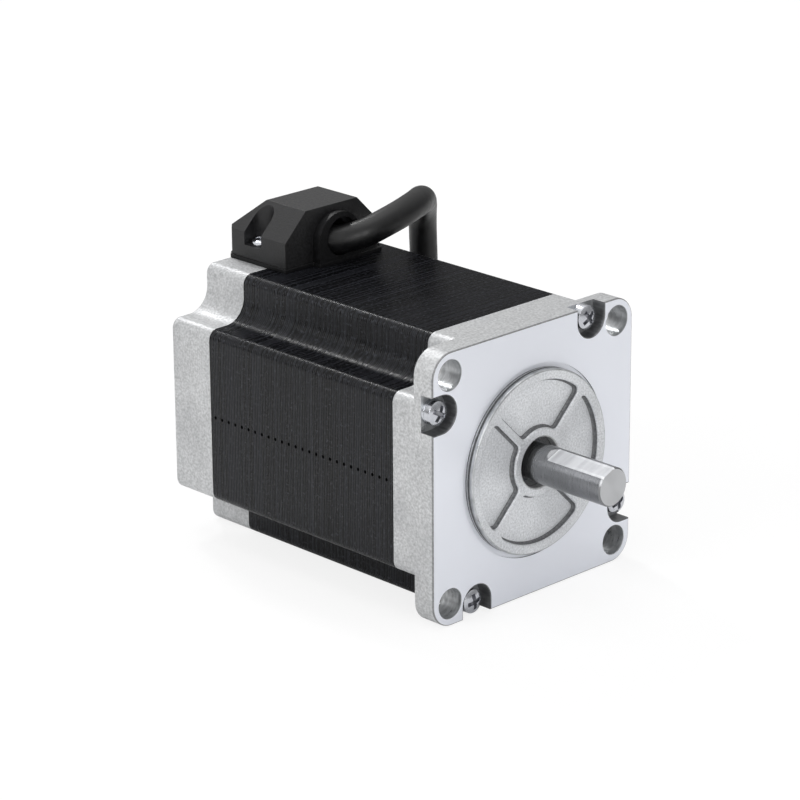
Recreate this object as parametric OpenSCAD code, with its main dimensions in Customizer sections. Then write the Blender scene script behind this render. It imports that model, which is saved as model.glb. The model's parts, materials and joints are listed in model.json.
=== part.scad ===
// Hybrid stepper motor with a square flange, a terminal cover on top and a pigtail cable.
// +X runs along the shaft out of the flange, +Z is up towards the terminal cover.
// The origin is the centre of the flange's mounting face, on the shaft axis. Millimetres.

/* [Flange and covers] */
// Width of the square flange
flange_w = 56.4; // [55.6:0.1:57.6]
// Corner radius of the flange plate
flange_corner_r = 5; // [3:0.5:6]
// Thickness of the flange plate
flange_t = 5.1; // [4.8:0.1:6]
// Spacing of the mounting holes along one side
hole_pitch = 47.14; // [46.8:0.02:47.4]
// Diameter of each mounting hole
hole_d = 6.2; // [5.2:0.1:6.6]
// Width across the flat sides of the covers and the stator
body_w = 56.4; // [55.8:0.1:57.4]
// Radius of the corner notches, round the mounting hole axes
notch_r = 4.99; // [4.6:0.01:5.2]
// Radius of the outward corners of the body
lobe_r = 2.14; // [1.6:0.02:2.4]
// Length of the front cover behind the mounting face
front_cover_l = 11.1; // [10.8:0.1:13]
// Length of the rear cover
rear_cover_l = 11.7; // [11.4:0.1:14]
// Radius of the hollow for the winding ends in both covers
hollow_r = 23.4; // [22.8:0.1:24]
// Thickness of the front cover's web in front of the windings
front_web_t = 5.4; // [5:0.1:5.8]
// Thickness of the rear cover's end wall
rear_wall_t = 1.6; // [1.2:0.1:2.4]
// Thickness of the wall round each bearing seat
seat_wall_t = 2.2; // [1.6:0.1:2.6]

/* [Pilot] */
// Diameter of the locating boss
pilot_d = 38.1; // [37:0.1:39]
// Height of the boss over the mounting face
pilot_h = 1.6; // [1.4:0.1:2.4]
// Diameter of the hole that the shaft passes through
shaft_hole_d = 10.4; // [9.4:0.1:11.4]
// Outer radius of the four shallow pockets
pocket_r = 16.9; // [15.5:0.1:17.6]
// Radius of the plain hub inside the pockets
hub_r = 7.1; // [6.4:0.1:8.5]
// Width of the ribs between the pockets
rib_w = 1.6; // [1:0.1:2.6]
// Depth of the pockets
pocket_t = 1.2; // [0.6:0.1:1.3]
// Corner radius of the pockets
pocket_corner_r = 1.3; // [0.6:0.1:2]
// Width of the relief groove round the boss
groove_w = 0.95; // [0.5:0.05:1.2]
// Depth of the relief groove
groove_t = 0.3; // [0.2:0.05:0.5]

/* [Shaft] */
// Diameter of the shaft
shaft_d = 8; // [7.8:0.02:8]
// Length of the shaft beyond the mounting face
shaft_out = 21; // [18:0.5:26]
// Length of the flat, from the end of the shaft
flat_l = 14.7; // [10:0.1:15]
// Height across the flat
flat_across = 7.5; // [7:0.1:7.7]
// Direction of the flat at rest, in degrees from +Y towards +Z
flat_angle = 112; // [0:1:360]
// Chamfer on the shaft end
shaft_chamfer = 0.3; // [0.1:0.05:0.6]
// Diameter of the shaft between the bearings
shaft_mid_d = 9.6; // [9:0.1:10.4]

/* [Stator and rotor] */
// Length of the laminated core
stator_l = 53.4; // [40:0.2:60]
// Diameter of the rotor over its teeth
rotor_d = 27; // [26:0.1:27.4]
// Radial air gap between rotor and stator
air_gap = 0.06; // [0.04:0.01:0.09]
// Radius of the slots that hold the windings
slot_r = 23; // [22.4:0.1:23.2]
// Width of each pole
pole_w = 5; // [4.4:0.1:5.4]
// Thickness of each pole shoe, teeth included
shoe_t = 1.7; // [1.5:0.1:2]
// Depth of the teeth
tooth_t = 0.85; // [0.6:0.05:1]
// Teeth on each rotor cup
rotor_teeth = 50; // [50:1:50]
// Thickness of the magnet between the two cups
magnet_t = 3; // [2:0.1:4]
// Distance from each end of the core to the rotor
rotor_inset = 2; // [1:0.1:4]

/* [Bearings] */
// Outer diameter of the ball bearings
bearing_d = 22; // [21.6:0.1:22]
// Width of the ball bearings
bearing_w = 7; // [6.8:0.1:7]
// Diameter of the bearing balls
ball_d = 3.969; // [3.8:0.001:4]
// Number of balls in each bearing
ball_n = 7; // [6:1:7]
// Distance from the mounting face to the front bearing
bearing_inset = 3; // [2.6:0.1:3.2]
// Free height of the wave washer behind the rear bearing
wave_h = 1.1; // [0.9:0.05:1.2]

/* [Windings] */
// Thickness of the insulator's end plate
insulator_t = 1; // [0.8:0.1:1.2]
// Height of the insulator's outer wall
insulator_wall_h = 4; // [3:0.1:4.4]
// Thickness of the winding round each pole
coil_t = 2.9; // [2:0.1:3]
// Thickness of the connection board
board_t = 1.2; // [0.8:0.1:1.6]

/* [Screws] */
// Diameter of the long body screws
screw_d = 2.5; // [2.4:0.1:3]
// Diameter of the body screws' heads
screw_head_d = 5; // [4.6:0.1:5]
// Height of the body screws' heads
screw_head_h = 2.1; // [1.8:0.1:2.2]
// Distance from the screw axis to the side of the body
screw_side = 2.55; // [2.55:0.05:2.8]
// Distance from the screw axis to the notch shelf
screw_shelf = 2.48; // [2.3:0.02:2.9]
// Radius of the counterbore for each screw head
counterbore_r = 3.83; // [3.4:0.01:4]
// Depth of the counterbores
counterbore_t = 3.2; // [2.8:0.1:3.4]
// Outer diameter of the lock washers
washer_d = 5.1; // [4.9:0.1:5.1]
// Thickness of the lock washers
washer_t = 0.6; // [0.5:0.05:0.8]
// Length of screw thread in the rear cover
thread_l = 6; // [4:0.5:8]

/* [Terminal cover] */
// Length of the terminal cover along the motor
cover_l = 17.7; // [17.2:0.1:18.6]
// Width of the terminal cover
cover_w = 26.1; // [25:0.1:27]
// Height of the terminal cover over the body
cover_h = 12.1; // [11.6:0.1:13]
// Height of the cover's upright sides over the body
cover_side_h = 6.3; // [5.8:0.1:6.8]
// Wall thickness of the terminal cover
cover_t = 1.9; // [1.5:0.1:2.2]
// How far the cover reaches behind the rear cover
cover_back = 0.6; // [0:0.1:1]
// Sideways shift of the cover's middle
cover_shift = 1.25; // [0.5:0.05:1.5]
// Chamfer on the cover's rear corners
cover_corner = 1.3; // [0.8:0.1:1.8]
// Thickness of the gasket under the cover
gasket_t = 0.85; // [0.6:0.05:1]
// How far the gasket stands out round the cover
gasket_lip = 0.3; // [0.1:0.05:0.4]
// Width of the recess round each cover screw
recess_w = 5.1; // [4.9:0.1:5.3]
// Distance from the cover's side to the middle of each recess's round end
recess_in = 2.65; // [2.4:0.05:2.9]
// Distance from the cover's front to the middle of each recess
recess_from_front = 9.95; // [9.6:0.05:10.2]
// Height of the recess floor over the body
recess_floor = 3.6; // [3.2:0.1:4]
// Diameter of the cover screws
cover_screw_d = 2.5; // [2:0.1:2.6]
// Diameter of the cover screws' heads
cover_screw_head_d = 4.3; // [3.9:0.1:4.5]
// Height of the cover screws' heads
cover_screw_head_h = 1.5; // [1.2:0.1:1.8]

/* [Gland and cable] */
// How far the gland stands out of the cover
gland_out = 2.3; // [1.8:0.1:3]
// Thickness of the gland's front rim
gland_rim_t = 1.1; // [0.8:0.1:1.3]
// Radius of the gland's round top
gland_r = 5.8; // [5.5:0.1:6]
// Height of the middle of the gland's round top over the body
gland_z = 5.1; // [4.8:0.1:5.4]
// Diameter of the hole through the gland
gland_hole_d = 8.2; // [7.6:0.1:8.4]
// Width of the gasket's tongue under the gland
tongue_w = 17.6; // [12:0.1:17.8]
// Diameter of the cable
cable_d = 6; // [5.6:0.1:6.2]
// Diameter of each flying lead
lead_d = 1.6; // [1.2:0.1:1.8]
// Length of the shrink sleeve on the cable's end
sleeve_l = 12; // [10:1:16]
// Diameter of the leads inside the terminal cover
inner_lead_d = 1.3; // [1:0.1:1.3]

/* [Hidden] */
$fn = 64;

// Overrun of every cut past the face that it opens
over = 0.5;
// Clearance of parts that are pressed or seated together
seat_gap = 0.01;
// Running clearance in the bearings
ball_gap = 0.04;
// Loose clearance of covers, screws and windings
loose_gap = 0.1;

// Places along the motor
core_x = -front_cover_l;
core_end_x = core_x - stator_l;
rear_x = core_end_x - rear_cover_l;
body_top = body_w / 2;

// The body's outline: half-width of each flat side, up to its corner notch
hole_at = hole_pitch / 2;
flat_half = hole_at - notch_r;

// Body screws
screw_at = [screw_side - body_w / 2, flat_half - screw_shelf];
screw_hole_r = screw_d / 2 + loose_gap;
screw_seat_x = washer_t - counterbore_t;
screw_tip_x = core_end_x - thread_l;
screw_recess_w = 0.8;
screw_recess_l = 2.8;
screw_recess_t = 1.1;
washer_slit = 0.6;

// Shaft and rotor. The shaft has a relief in front of the bearing, and a slip fit along its flat
shaft_r = shaft_d / 2;
shaft_mid_r = shaft_mid_d / 2;
neck_x = bearing_inset;
neck_inset = 0.5;
neck_back_x = neck_inset - bearing_inset;
neck_t = 0.25;
flat_x = shaft_out - flat_l;
slip_r = shaft_r - seat_gap;
rotor_r = rotor_d / 2;
cup_l = (stator_l - 2 * rotor_inset - magnet_t) / 2;
cup_front_x = core_x - rotor_inset - cup_l;
magnet_x = cup_front_x - magnet_t;
cup_rear_x = magnet_x - cup_l;
tooth_pitch = 360 / rotor_teeth;
tooth_gap_share = 0.5;
rotor_gap_w = 2 * rotor_r * sin(tooth_pitch * tooth_gap_share / 2);
magnet_inset = 1;

// Stator poles
pole_n = 8;
pole_step = 360 / pole_n;
pole_teeth = 6;
bore_r = rotor_r + air_gap;
shoe_r = bore_r + shoe_t;
shoe_half = tooth_pitch * (pole_teeth - 1 + tooth_gap_share) / 2;

// Bearings
bearing_r = bearing_d / 2;
ball_r = ball_d / 2;
ball_at = (bearing_r + shaft_r) / 2;
race_r = ball_r + ball_gap;
race_land_share = 0.7;
outer_land_r = ball_at + ball_r * race_land_share;
inner_land_r = ball_at - ball_r * race_land_share;
cage_half_t = 0.6;
cage_edge_t = 0.5;
cage_w = ball_d + 2 * cage_edge_t;
seal_t = 0.5;
seal_inset = 0.2;
front_bearing_x = -bearing_inset - bearing_w;
rear_bearing_x = rear_x + rear_wall_t + wave_h;
shaft_end_out = 0.3;
shaft_end_x = rear_bearing_x - shaft_end_out;
seat_end_gap = 0.7;
hollow_step = 0.9;
rear_hollow_x = rear_x + rear_wall_t + hollow_step;
rear_seat_x = rear_x + rear_wall_t;
wave_t = 0.4;
wave_n = 3;
wave_steps = 48;
wave_rim = 0.4;
wave_ring_w = 2.2;

// Windings and insulators
insulator_ring_r = slot_r - loose_gap;
insulator_ring_w = 0.8;
coil_gap = 0.2;
coil_in_r = shoe_r + insulator_t;
coil_half_w = pole_w / 2 + coil_gap;
coil_corner_r = 1.2;
coil_reach = slot_r - insulator_ring_w - 2 * loose_gap;
coil_out_half = coil_half_w + coil_t;
coil_depth = sqrt(coil_reach * coil_reach - coil_out_half * coil_out_half) - coil_in_r;
lip_w = 8;
lip_t = 0.7;
lip_h = 2.6;
post_r = 0.9;
post_inset = 1.5;
post_at = insulator_ring_r - insulator_ring_w - post_inset;
board_space = 1.7;
board_x = core_end_x - insulator_t - coil_t - board_space - board_t;
board_edge_gap = 0.8;
board_in_r = bearing_r + seat_wall_t + board_edge_gap;
board_out_r = hollow_r - board_edge_gap;

// Terminal cover, seen along the motor: foot of the slopes and top
cover_back_x = rear_x - cover_back;
cover_front_x = cover_back_x + cover_l;
cover_low = body_top + gasket_t;
cover_foot = body_top + cover_side_h;
cover_top = body_top + cover_h;
cover_slope = cover_h - cover_side_h;
slope_share = sqrt(2) - 1;
recess_x = cover_front_x - recess_from_front;
recess_side = cover_w / 2 - recess_in;
recess_wall = 1.3;
recess_z = body_top + recess_floor;
cover_screw_tip = 5;
cross_l_share = 0.55;
cross_w_share = 0.17;
cross_t_share = 0.6;
window_l = 5;
window_from_back = 3.4;
window_low_share = 0.8;

// Gland
gland_x = cover_front_x + gland_out;
gland_side = 0.25;
gland_y = cover_shift + gland_side;
gland_top_z = body_top + gland_z;
gland_neck = 0.3;
gland_neck_r = gland_r - gland_neck;
gland_hole_shift = [0.5, 0.5];
gland_in_shift = [-1, 0.3];
gland_in_d = gland_hole_d + 2 * loose_gap;
gland_flange_w = 0.6;
gland_flange_t = 1;
gland_flange_top = cover_top - cover_t - loose_gap;
gland_flange_x = cover_front_x - cover_t - gland_flange_t;

// The cable's end inside the cover, its tie, and the way that it runs there
entry_back = 2.4;
entry_side = 2.6;
entry_low = 0.1;
entry = [gland_flange_x - entry_back, gland_y - entry_side, gland_top_z - entry_low];
entry_way = [1, 0.235, -0.03];
tie_t = 1.1;
tie_l = 1.1;
tie_gap = 0.06;

// Route of the cable's centre line: out of the gland, over the edge of the body,
// down behind it and in a bend on the surface that the motor lies on
CABLE = [
    [-64.4, -1.1, 33.2], [-60.4, -0.2, 33.1], [-56.8, 2, 33.2], [-53.8, 5.7, 34.4],
    [-52.7, 10.4, 35.8], [-52.6, 15.2, 36.9], [-53.7, 20, 37.5], [-56.2, 24.3, 37.1],
    [-59.2, 27.7, 35], [-61.9, 30.3, 31.8], [-63.5, 31.9, 27.4], [-63.9, 32.5, 22],
    [-63.9, 32.7, 14], [-63.9, 32.8, 5], [-63.9, 32.9, -4], [-63.5, 33, -12],
    [-62, 33.2, -17.2], [-58.9, 33.5, -21.5], [-54.5, 34, -24.3], [-49.5, 34.6, -25.2],
    [-43.4, 36.2, -25.2], [-39, 40.6, -25.2], [-37.2, 46.8, -25.2], [-38.8, 53, -25.2],
    [-43.2, 57.6, -25.2], [-49.4, 59.8, -25.2], [-58, 60.2, -25.2], [-67, 60.2, -25.2],
    [-76, 60.2, -25.2], [-85, 60.2, -25.2], [-92.6, 59.6, -25.2], [-99, 57.2, -25.2],
    [-103.6, 52.6, -25.2], [-105.6, 46.2, -25.2], [-105.8, 38, -25.2], [-105.8, 30, -25.2],
    [-105.8, 23, -25.1], [-105.3, 16.6, -25], [-102.8, 10.8, -24.9], [-98.2, 6.2, -24.8],
    [-92.2, 4, -24.7], [-86, 5.4, -24.7], [-81.8, 10, -24.7], [-80.6, 16.2, -24.7],
    [-80.6, 21.4, -24.7]
];
cable_end = CABLE[len(CABLE) - 1];
cable_end_way = cable_end - CABLE[len(CABLE) - 2];
sleeve_grip = 4.5;
sleeve_wall = 0.5;

// Routes of the flying leads, from the cable's end to their tinned tips
LEADS = [
    [[-81.45, 21.6, -23.85], [-81.6, 25.4, -23.9], [-82.1, 29.4, -24.3], [-83.9, 34.4, -25.8],
     [-86.2, 39.2, -27.2], [-88.8, 43.8, -27.4], [-91.6, 47.8, -27.4]],
    [[-81.45, 21.6, -25.55], [-81.5, 25.4, -25.6], [-81.7, 29.4, -25.9], [-82.5, 34.4, -27],
     [-83.6, 39.4, -27.4], [-85, 44.8, -27.4], [-86.7, 50, -27.4]],
    [[-79.75, 21.6, -23.85], [-79.7, 25.4, -23.9], [-79.6, 29.4, -24.2], [-79.3, 34.4, -25.8],
     [-78.7, 39.4, -27.2], [-77.6, 44.8, -27.4], [-76, 50, -27.4]],
    [[-79.75, 21.6, -25.55], [-79.6, 25.4, -25.6], [-79.2, 29.4, -25.9], [-77.7, 34, -27],
     [-75.2, 38.4, -27.4], [-72.2, 42.6, -27.4], [-69, 46.4, -27.4]]
];
LEAD_COLOURS = ["black", "green", "red", "blue"];
tip_l = 6;
tip_r_share = 0.6;

// Routes of the leads inside the cover, between its screws, down to the connection board
lead_n = 4;
inner_half = recess_side - recess_w / 2 - recess_wall - inner_lead_d / 2 - loose_gap;
inner_pitch_share = 0.5;
inner_pitch = inner_half * inner_pitch_share;
inner_out = (lead_n - 1) / 2 * inner_pitch;
window_w = 2 * inner_out + inner_lead_d + 2 * loose_gap;
inner_spread = 1.25;
INNER_WAYS = [[-1, 0], [0, 1], [0, -1], [1, 0]];
inner_bend = 1.4;
inner_bend_share = 0.3;
inner_gap = 0.05;
inner_start_gap = 0.6;
inner_reach = 1.6;
function inner_lead(k) =
    let (x = board_x + board_t + inner_lead_d / 2 + inner_gap)
    let (y = cover_shift - inner_out + k * inner_pitch)
    let (spread = inner_spread * INNER_WAYS[k])
    let (start = entry + [-inner_start_gap, spread[0], spread[1]])
    [start, start + [-tie_l, 0, 0],
     [x + inner_bend, y, start[2]],
     [x + inner_bend * inner_bend_share, y, start[2] - inner_bend * (1 - inner_bend_share)],
     [x, y, recess_z - 2 * inner_bend],
     [x, y, hollow_r], [x, y, board_out_r - inner_reach]];

// Shapes laid along the motor: the outline's x and y become Y and Z
module along_x(x0, l) translate([x0, 0, 0]) rotate([90, 0, 90]) linear_extrude(l) children();

module rod_x(x0, l, r) translate([x0, 0, 0]) rotate([0, 90, 0]) cylinder(h = l, r = r);

module tube_x(x0, l, r, hole_r) difference() {
    rod_x(x0, l, r);
    rod_x(x0 - over, l + 2 * over, hole_r);
}

// Carries a part from the origin and +X to a point of a route and the way it runs there
module along_route(p, way) translate(p)
    rotate([0, -atan2(way[2], norm([way[0], way[1]])), atan2(way[1], way[0])]) children();

module four_ways() for (i = [0:3]) rotate([90 * i, 0, 0]) children();

module rounded_rect(w, h, r) {
    square([w, h - 2 * r], center = true);
    square([w - 2 * r, h], center = true);
    for (sx = [-1, 1], sy = [-1, 1])
        translate([sx * (w / 2 - r), sy * (h / 2 - r)]) circle(r);
}

// The covers and the core share this outline: a cross with round notches at its corners
module body_outline() {
    rounded_rect(2 * flat_half, body_w, lobe_r);
    rounded_rect(body_w, 2 * flat_half, lobe_r);
    difference() {
        square(2 * min(hole_at, body_top), center = true);
        for (sx = [-1, 1], sy = [-1, 1])
            translate([sx * hole_at, sy * hole_at]) circle(notch_r);
    }
}

// A wedge that opens along +Y in the outline, for sectors up to 45 degrees each way
module wedge(reach, half) polygon([[0, 0], [-reach * tan(half), reach], [reach * tan(half), reach]]);

// One shallow pocket of the boss, between two ribs, with round corners
module boss_pocket() offset(r = pocket_corner_r, $fn = 32) offset(delta = -pocket_corner_r) difference() {
    circle(pocket_r);
    circle(hub_r);
    rotate(135) translate([-rib_w / 2 - pocket_r * 2, -pocket_r * 2])
        square([pocket_r * 2 + rib_w, pocket_r * 4]);
    rotate(-135) translate([-rib_w / 2, -pocket_r * 2]) square([pocket_r * 2 + rib_w, pocket_r * 4]);
}

// A tube of n sides along a route, with one ring at each of its points
function unit(v) = v / norm(v);
function heading(p, i) = unit(p[min(i + 1, len(p) - 1)] - p[max(i - 1, 0)]);
function square_to(v, t) = unit(v - (v * t) * t);
function sides_of(p) = [
    for (i = 0, n = square_to([0, 0, 1], heading(p, 0)); i < len(p);
         i = i + 1, n = square_to(n, heading(p, min(i, len(p) - 1)))) n
];
function ring(c, t, n, r, sides) = [
    for (k = [0:sides - 1]) c + r * (cos(360 * k / sides) * n + sin(360 * k / sides) * cross(t, n))
];

module tube(route, r, sides) {
    across = sides_of(route);
    rings = [for (i = [0:len(route) - 1]) each ring(route[i], heading(route, i), across[i], r, sides)];
    walls = [
        for (i = [0:len(route) - 2], k = [0:sides - 1])
            let (a = i * sides + k, b = i * sides + (k + 1) % sides)
            each [[a, a + sides, b + sides], [a, b + sides, b]]
    ];
    first = [for (k = [0:sides - 1]) k];
    last = [for (k = [sides - 1:-1:0]) (len(route) - 1) * sides + k];
    polyhedron(points = rings, faces = concat(walls, [first], [last]));
}

// Housing

module front_cover() color("lightgray") difference() {
    union() {
        along_x(-flange_t, flange_t) rounded_rect(flange_w, flange_w, flange_corner_r);
        along_x(core_x, front_cover_l - flange_t) body_outline();
        rod_x(-flange_t, flange_t + pilot_h, pilot_d / 2);
    }
    tube_x(-groove_t, groove_t + over, pilot_d / 2 + groove_w, pilot_d / 2);
    for (i = [0:3])
        along_x(pilot_h - pocket_t, pocket_t + over) rotate(90 * i) boss_pocket();
    rod_x(-flange_t, flange_t + pilot_h + over, shaft_hole_d / 2);
    rod_x(core_x - over, front_cover_l - bearing_inset + over, bearing_r + seat_gap);
    tube_x(core_x - over, front_cover_l - front_web_t + over, hollow_r, bearing_r + seat_wall_t);
    rod_x(core_x - over, seat_end_gap + over, hollow_r);
    for (sy = [-1, 1], sz = [-1, 1])
        translate([0, sy * hole_at, sz * hole_at]) rod_x(-flange_t - over, flange_t + 2 * over, hole_d / 2);
    four_ways() translate([0, screw_at[0], screw_at[1]]) {
        rod_x(core_x - over, front_cover_l + 2 * over, screw_hole_r);
        rod_x(-counterbore_t, counterbore_t + over, counterbore_r);
        translate([-counterbore_t, -flange_w / 2, -counterbore_r])
            cube([counterbore_t + over, flange_w / 2, 2 * counterbore_r]);
    }
}

module stator_outline() difference() {
    body_outline();
    difference() {
        circle(slot_r);
        for (i = [0:pole_n - 1]) rotate(i * pole_step) {
            translate([-pole_w / 2, bore_r]) square([pole_w, slot_r]);
            intersection() {
                circle(shoe_r);
                wedge(shoe_r * 2, shoe_half);
            }
        }
    }
    circle(bore_r);
    for (i = [0:pole_n - 1], k = [1:pole_teeth - 1])
        rotate(i * pole_step + (k - pole_teeth / 2) * tooth_pitch)
            translate([-rotor_gap_w / 2, 0]) square([rotor_gap_w, bore_r + tooth_t]);
    for (i = [0:3]) rotate(90 * i) translate(screw_at) circle(screw_hole_r);
}

module stator_core() color("dimgray") along_x(core_end_x, stator_l) stator_outline();

module rear_cover() color("lightgray") difference() {
    along_x(rear_x, rear_cover_l) body_outline();
    tube_x(rear_hollow_x, rear_cover_l, hollow_r, bearing_r + seat_wall_t);
    rod_x(rear_seat_x, rear_cover_l, bearing_r + seat_gap);
    rod_x(core_end_x - seat_end_gap, seat_end_gap + over, hollow_r);
    four_ways() translate([0, screw_at[0], screw_at[1]])
        rod_x(screw_tip_x - over, thread_l + 2 * over, screw_d / 2 + seat_gap);
    for (s = [-1, 1])
        translate([recess_x, cover_shift + s * recess_side, body_top - cover_screw_tip - over])
            cylinder(h = cover_screw_tip + 2 * over, r = cover_screw_d / 2 + seat_gap);
    translate([rear_x + window_from_back, cover_shift - window_w / 2, hollow_r * window_low_share])
        cube([window_l, window_w, body_top]);
}

// Windings

module insulator_outline() {
    difference() {
        circle(insulator_ring_r);
        circle(insulator_ring_r - insulator_ring_w);
    }
    for (i = [0:pole_n - 1]) rotate(i * pole_step)
        translate([-pole_w / 2, shoe_r - lip_t]) square([pole_w, insulator_ring_r - shoe_r]);
}

// An insulator that stands on the core's end, its walls pointing along +Z
module insulator() {
    linear_extrude(insulator_t) insulator_outline();
    linear_extrude(insulator_wall_h) difference() {
        circle(insulator_ring_r);
        circle(insulator_ring_r - insulator_ring_w);
    }
    for (i = [0:pole_n - 1]) rotate([0, 0, i * pole_step])
        translate([-lip_w / 2, shoe_r - lip_t, 0]) cube([lip_w, lip_t, insulator_t + lip_h]);
}

module front_insulator() color("ivory") translate([core_x, 0, 0]) rotate([90, 0, 90]) insulator();

module rear_insulator() color("ivory") translate([core_end_x, 0, 0]) rotate([90, 0, -90]) {
    insulator();
    for (i = [0:3]) rotate([0, 0, pole_step / 2 + 90 * i]) translate([0, post_at, 0])
        cylinder(h = core_end_x - board_x - board_t, r = post_r);
    for (i = [0:3]) rotate([0, 0, pole_step / 2 + 90 * i]) translate([-post_r, post_at, 0])
        cube([2 * post_r, insulator_ring_r - post_at - seat_gap, insulator_t]);
}

// One winding: a ring of wire round a pole, from end to end of the core
module coil(i) color("peru") rotate([pole_step * i, 0, 0]) translate([0, 0, coil_in_r])
    linear_extrude(coil_depth) difference() {
        translate([core_x - stator_l / 2, 0])
            rounded_rect(stator_l + 2 * (insulator_t + coil_t), 2 * coil_out_half, coil_corner_r * 2);
        translate([core_x - stator_l / 2, 0])
            rounded_rect(stator_l + 2 * insulator_t + seat_gap, 2 * coil_half_w, coil_gap);
    }

module connection_board() color("darkgreen") tube_x(board_x, board_t, board_out_r, board_in_r);

// Screws

module cross_recess(l, w, t) {
    translate([-l / 2, -w / 2, -t]) cube([l, w, t + over]);
    translate([-w / 2, -l / 2, -t]) cube([w, l, t + over]);
}

// A screw with a domed head that stands on z = 0, its shank pointing down
module domed_screw(d, head_d, head_h, l, recess_l, recess_w, recess_t) difference() {
    union() {
        intersection() {
            cylinder(h = head_h, r = head_d / 2);
            translate([0, 0, head_h - head_d]) sphere(head_d);
        }
        translate([0, 0, -l]) cylinder(h = l + head_h / 2, r = d / 2);
    }
    translate([0, 0, head_h]) cross_recess(recess_l, recess_w, recess_t);
}

module body_screws() color("gainsboro") four_ways() translate([screw_seat_x, screw_at[0], screw_at[1]])
    rotate([0, 90, 0]) rotate([0, 0, 45])
        domed_screw(screw_d, screw_head_d, screw_head_h, screw_seat_x - screw_tip_x,
                    screw_recess_l, screw_recess_w, screw_recess_t);

module lock_washer() difference() {
    tube_x(-counterbore_t, washer_t, washer_d / 2, screw_d / 2 + seat_gap);
    translate([-counterbore_t - over, 0, -washer_slit / 2])
        cube([washer_t + 2 * over, washer_d, washer_slit]);
}

module lock_washers() color("gainsboro")
    four_ways() translate([0, screw_at[0], screw_at[1]]) lock_washer();

module cover_screws() color("gainsboro") for (s = [-1, 1])
    translate([recess_x, cover_shift + s * recess_side, recess_z])
        domed_screw(cover_screw_d, cover_screw_head_d, cover_screw_head_h, recess_floor + cover_screw_tip,
                    cover_screw_head_d * cross_l_share, cover_screw_head_d * cross_w_share,
                    cover_screw_head_h * cross_t_share);

// Rotor

module shaft() color("silver") rotate([flat_angle + 90, 0, 0]) difference() {
    rotate([0, 90, 0]) rotate_extrude() polygon([
        [0, shaft_end_x], [shaft_r, shaft_end_x],
        [shaft_r, rear_bearing_x + bearing_w], [shaft_mid_r, rear_bearing_x + bearing_w],
        [shaft_mid_r, front_bearing_x], [shaft_r, front_bearing_x],
        [shaft_r, neck_back_x], [shaft_r - neck_t, neck_back_x],
        [shaft_r - neck_t, neck_x], [shaft_r, neck_x],
        [shaft_r, flat_x], [slip_r, flat_x],
        [slip_r, shaft_out - shaft_chamfer], [slip_r - shaft_chamfer, shaft_out], [0, shaft_out]
    ]);
    translate([flat_x, -shaft_d, shaft_r - flat_across - shaft_d])
        cube([flat_l + over, 2 * shaft_d, shaft_d]);
}

module cup_outline() difference() {
    circle(rotor_r);
    circle(shaft_mid_r + seat_gap);
    for (i = [0:rotor_teeth - 1]) rotate(i * tooth_pitch)
        translate([-rotor_gap_w / 2, rotor_r - tooth_t]) square([rotor_gap_w, tooth_t + over]);
}

module rotor_cup_front() color("gray") along_x(cup_front_x, cup_l) cup_outline();

module rotor_cup_rear() color("gray") along_x(cup_rear_x, cup_l) rotate(tooth_pitch / 2) cup_outline();

module rotor_magnet() color("slategray")
    tube_x(magnet_x, magnet_t, rotor_r - magnet_inset, shaft_mid_r + seat_gap);

// Bearings, each standing on x = 0 with its width along +X

module race() translate([bearing_w / 2, 0, 0]) rotate([0, 90, 0])
    rotate_extrude() translate([ball_at, 0]) circle(race_r);

module outer_ring() difference() {
    tube_x(0, bearing_w, bearing_r, outer_land_r);
    race();
}

module inner_ring() difference() {
    tube_x(0, bearing_w, inner_land_r, shaft_r + seat_gap);
    race();
}

module balls() for (i = [0:ball_n - 1]) rotate([360 / ball_n * i, 0, 0])
    translate([bearing_w / 2, 0, ball_at]) sphere(ball_r);

module cage() difference() {
    tube_x((bearing_w - cage_w) / 2, cage_w, ball_at + cage_half_t, ball_at - cage_half_t);
    for (i = [0:ball_n - 1]) rotate([360 / ball_n * i, 0, 0])
        translate([bearing_w / 2, 0, ball_at]) sphere(ball_r + loose_gap);
}

module seals() for (x = [seal_inset, bearing_w - seal_inset - seal_t])
    tube_x(x, seal_t, outer_land_r - seat_gap, inner_land_r + loose_gap);

module front_bearing() translate([front_bearing_x, 0, 0]) children();

module rear_bearing() translate([rear_bearing_x, 0, 0]) children();

module front_outer_ring() color("silver") front_bearing() outer_ring();
module front_inner_ring() color("silver") front_bearing() inner_ring();
module front_balls() color("silver") front_bearing() balls();
module front_cage() color("goldenrod") front_bearing() cage();
module front_seals() color("black") front_bearing() seals();
module rear_outer_ring() color("silver") rear_bearing() outer_ring();
module rear_inner_ring() color("silver") rear_bearing() inner_ring();
module rear_balls() color("silver") rear_bearing() balls();
module rear_cage() color("goldenrod") rear_bearing() cage();
module rear_seals() color("black") rear_bearing() seals();

// A thin ring whose height waves up and down wave_n times round
module wave_washer() color("gray") {
    out_r = bearing_r - wave_rim;
    in_r = out_r - wave_ring_w;
    swing = (wave_h - wave_t) / 2 - seat_gap;
    section = [[in_r, -wave_t / 2], [out_r, -wave_t / 2], [out_r, wave_t / 2], [in_r, wave_t / 2]];
    rise = [for (k = [0:wave_steps - 1]) swing * cos(360 * wave_n * k / wave_steps)];
    points = [
        for (k = [0:wave_steps - 1])
            let (a = 360 * k / wave_steps, x = rear_seat_x + wave_h / 2 + rise[k])
            each [for (c = section) [x + c[1], c[0] * cos(a), c[0] * sin(a)]]
    ];
    faces = [
        for (k = [0:wave_steps - 1], j = [0:3])
            let (m = (k + 1) % wave_steps, n = (j + 1) % 4)
            each [[4 * k + j, 4 * m + j, 4 * m + n], [4 * k + j, 4 * m + n, 4 * k + n]]
    ];
    polyhedron(points = points, faces = faces);
}

// Terminal cover. Each outline shrinks by inset on every wall but the open bottom

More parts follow.
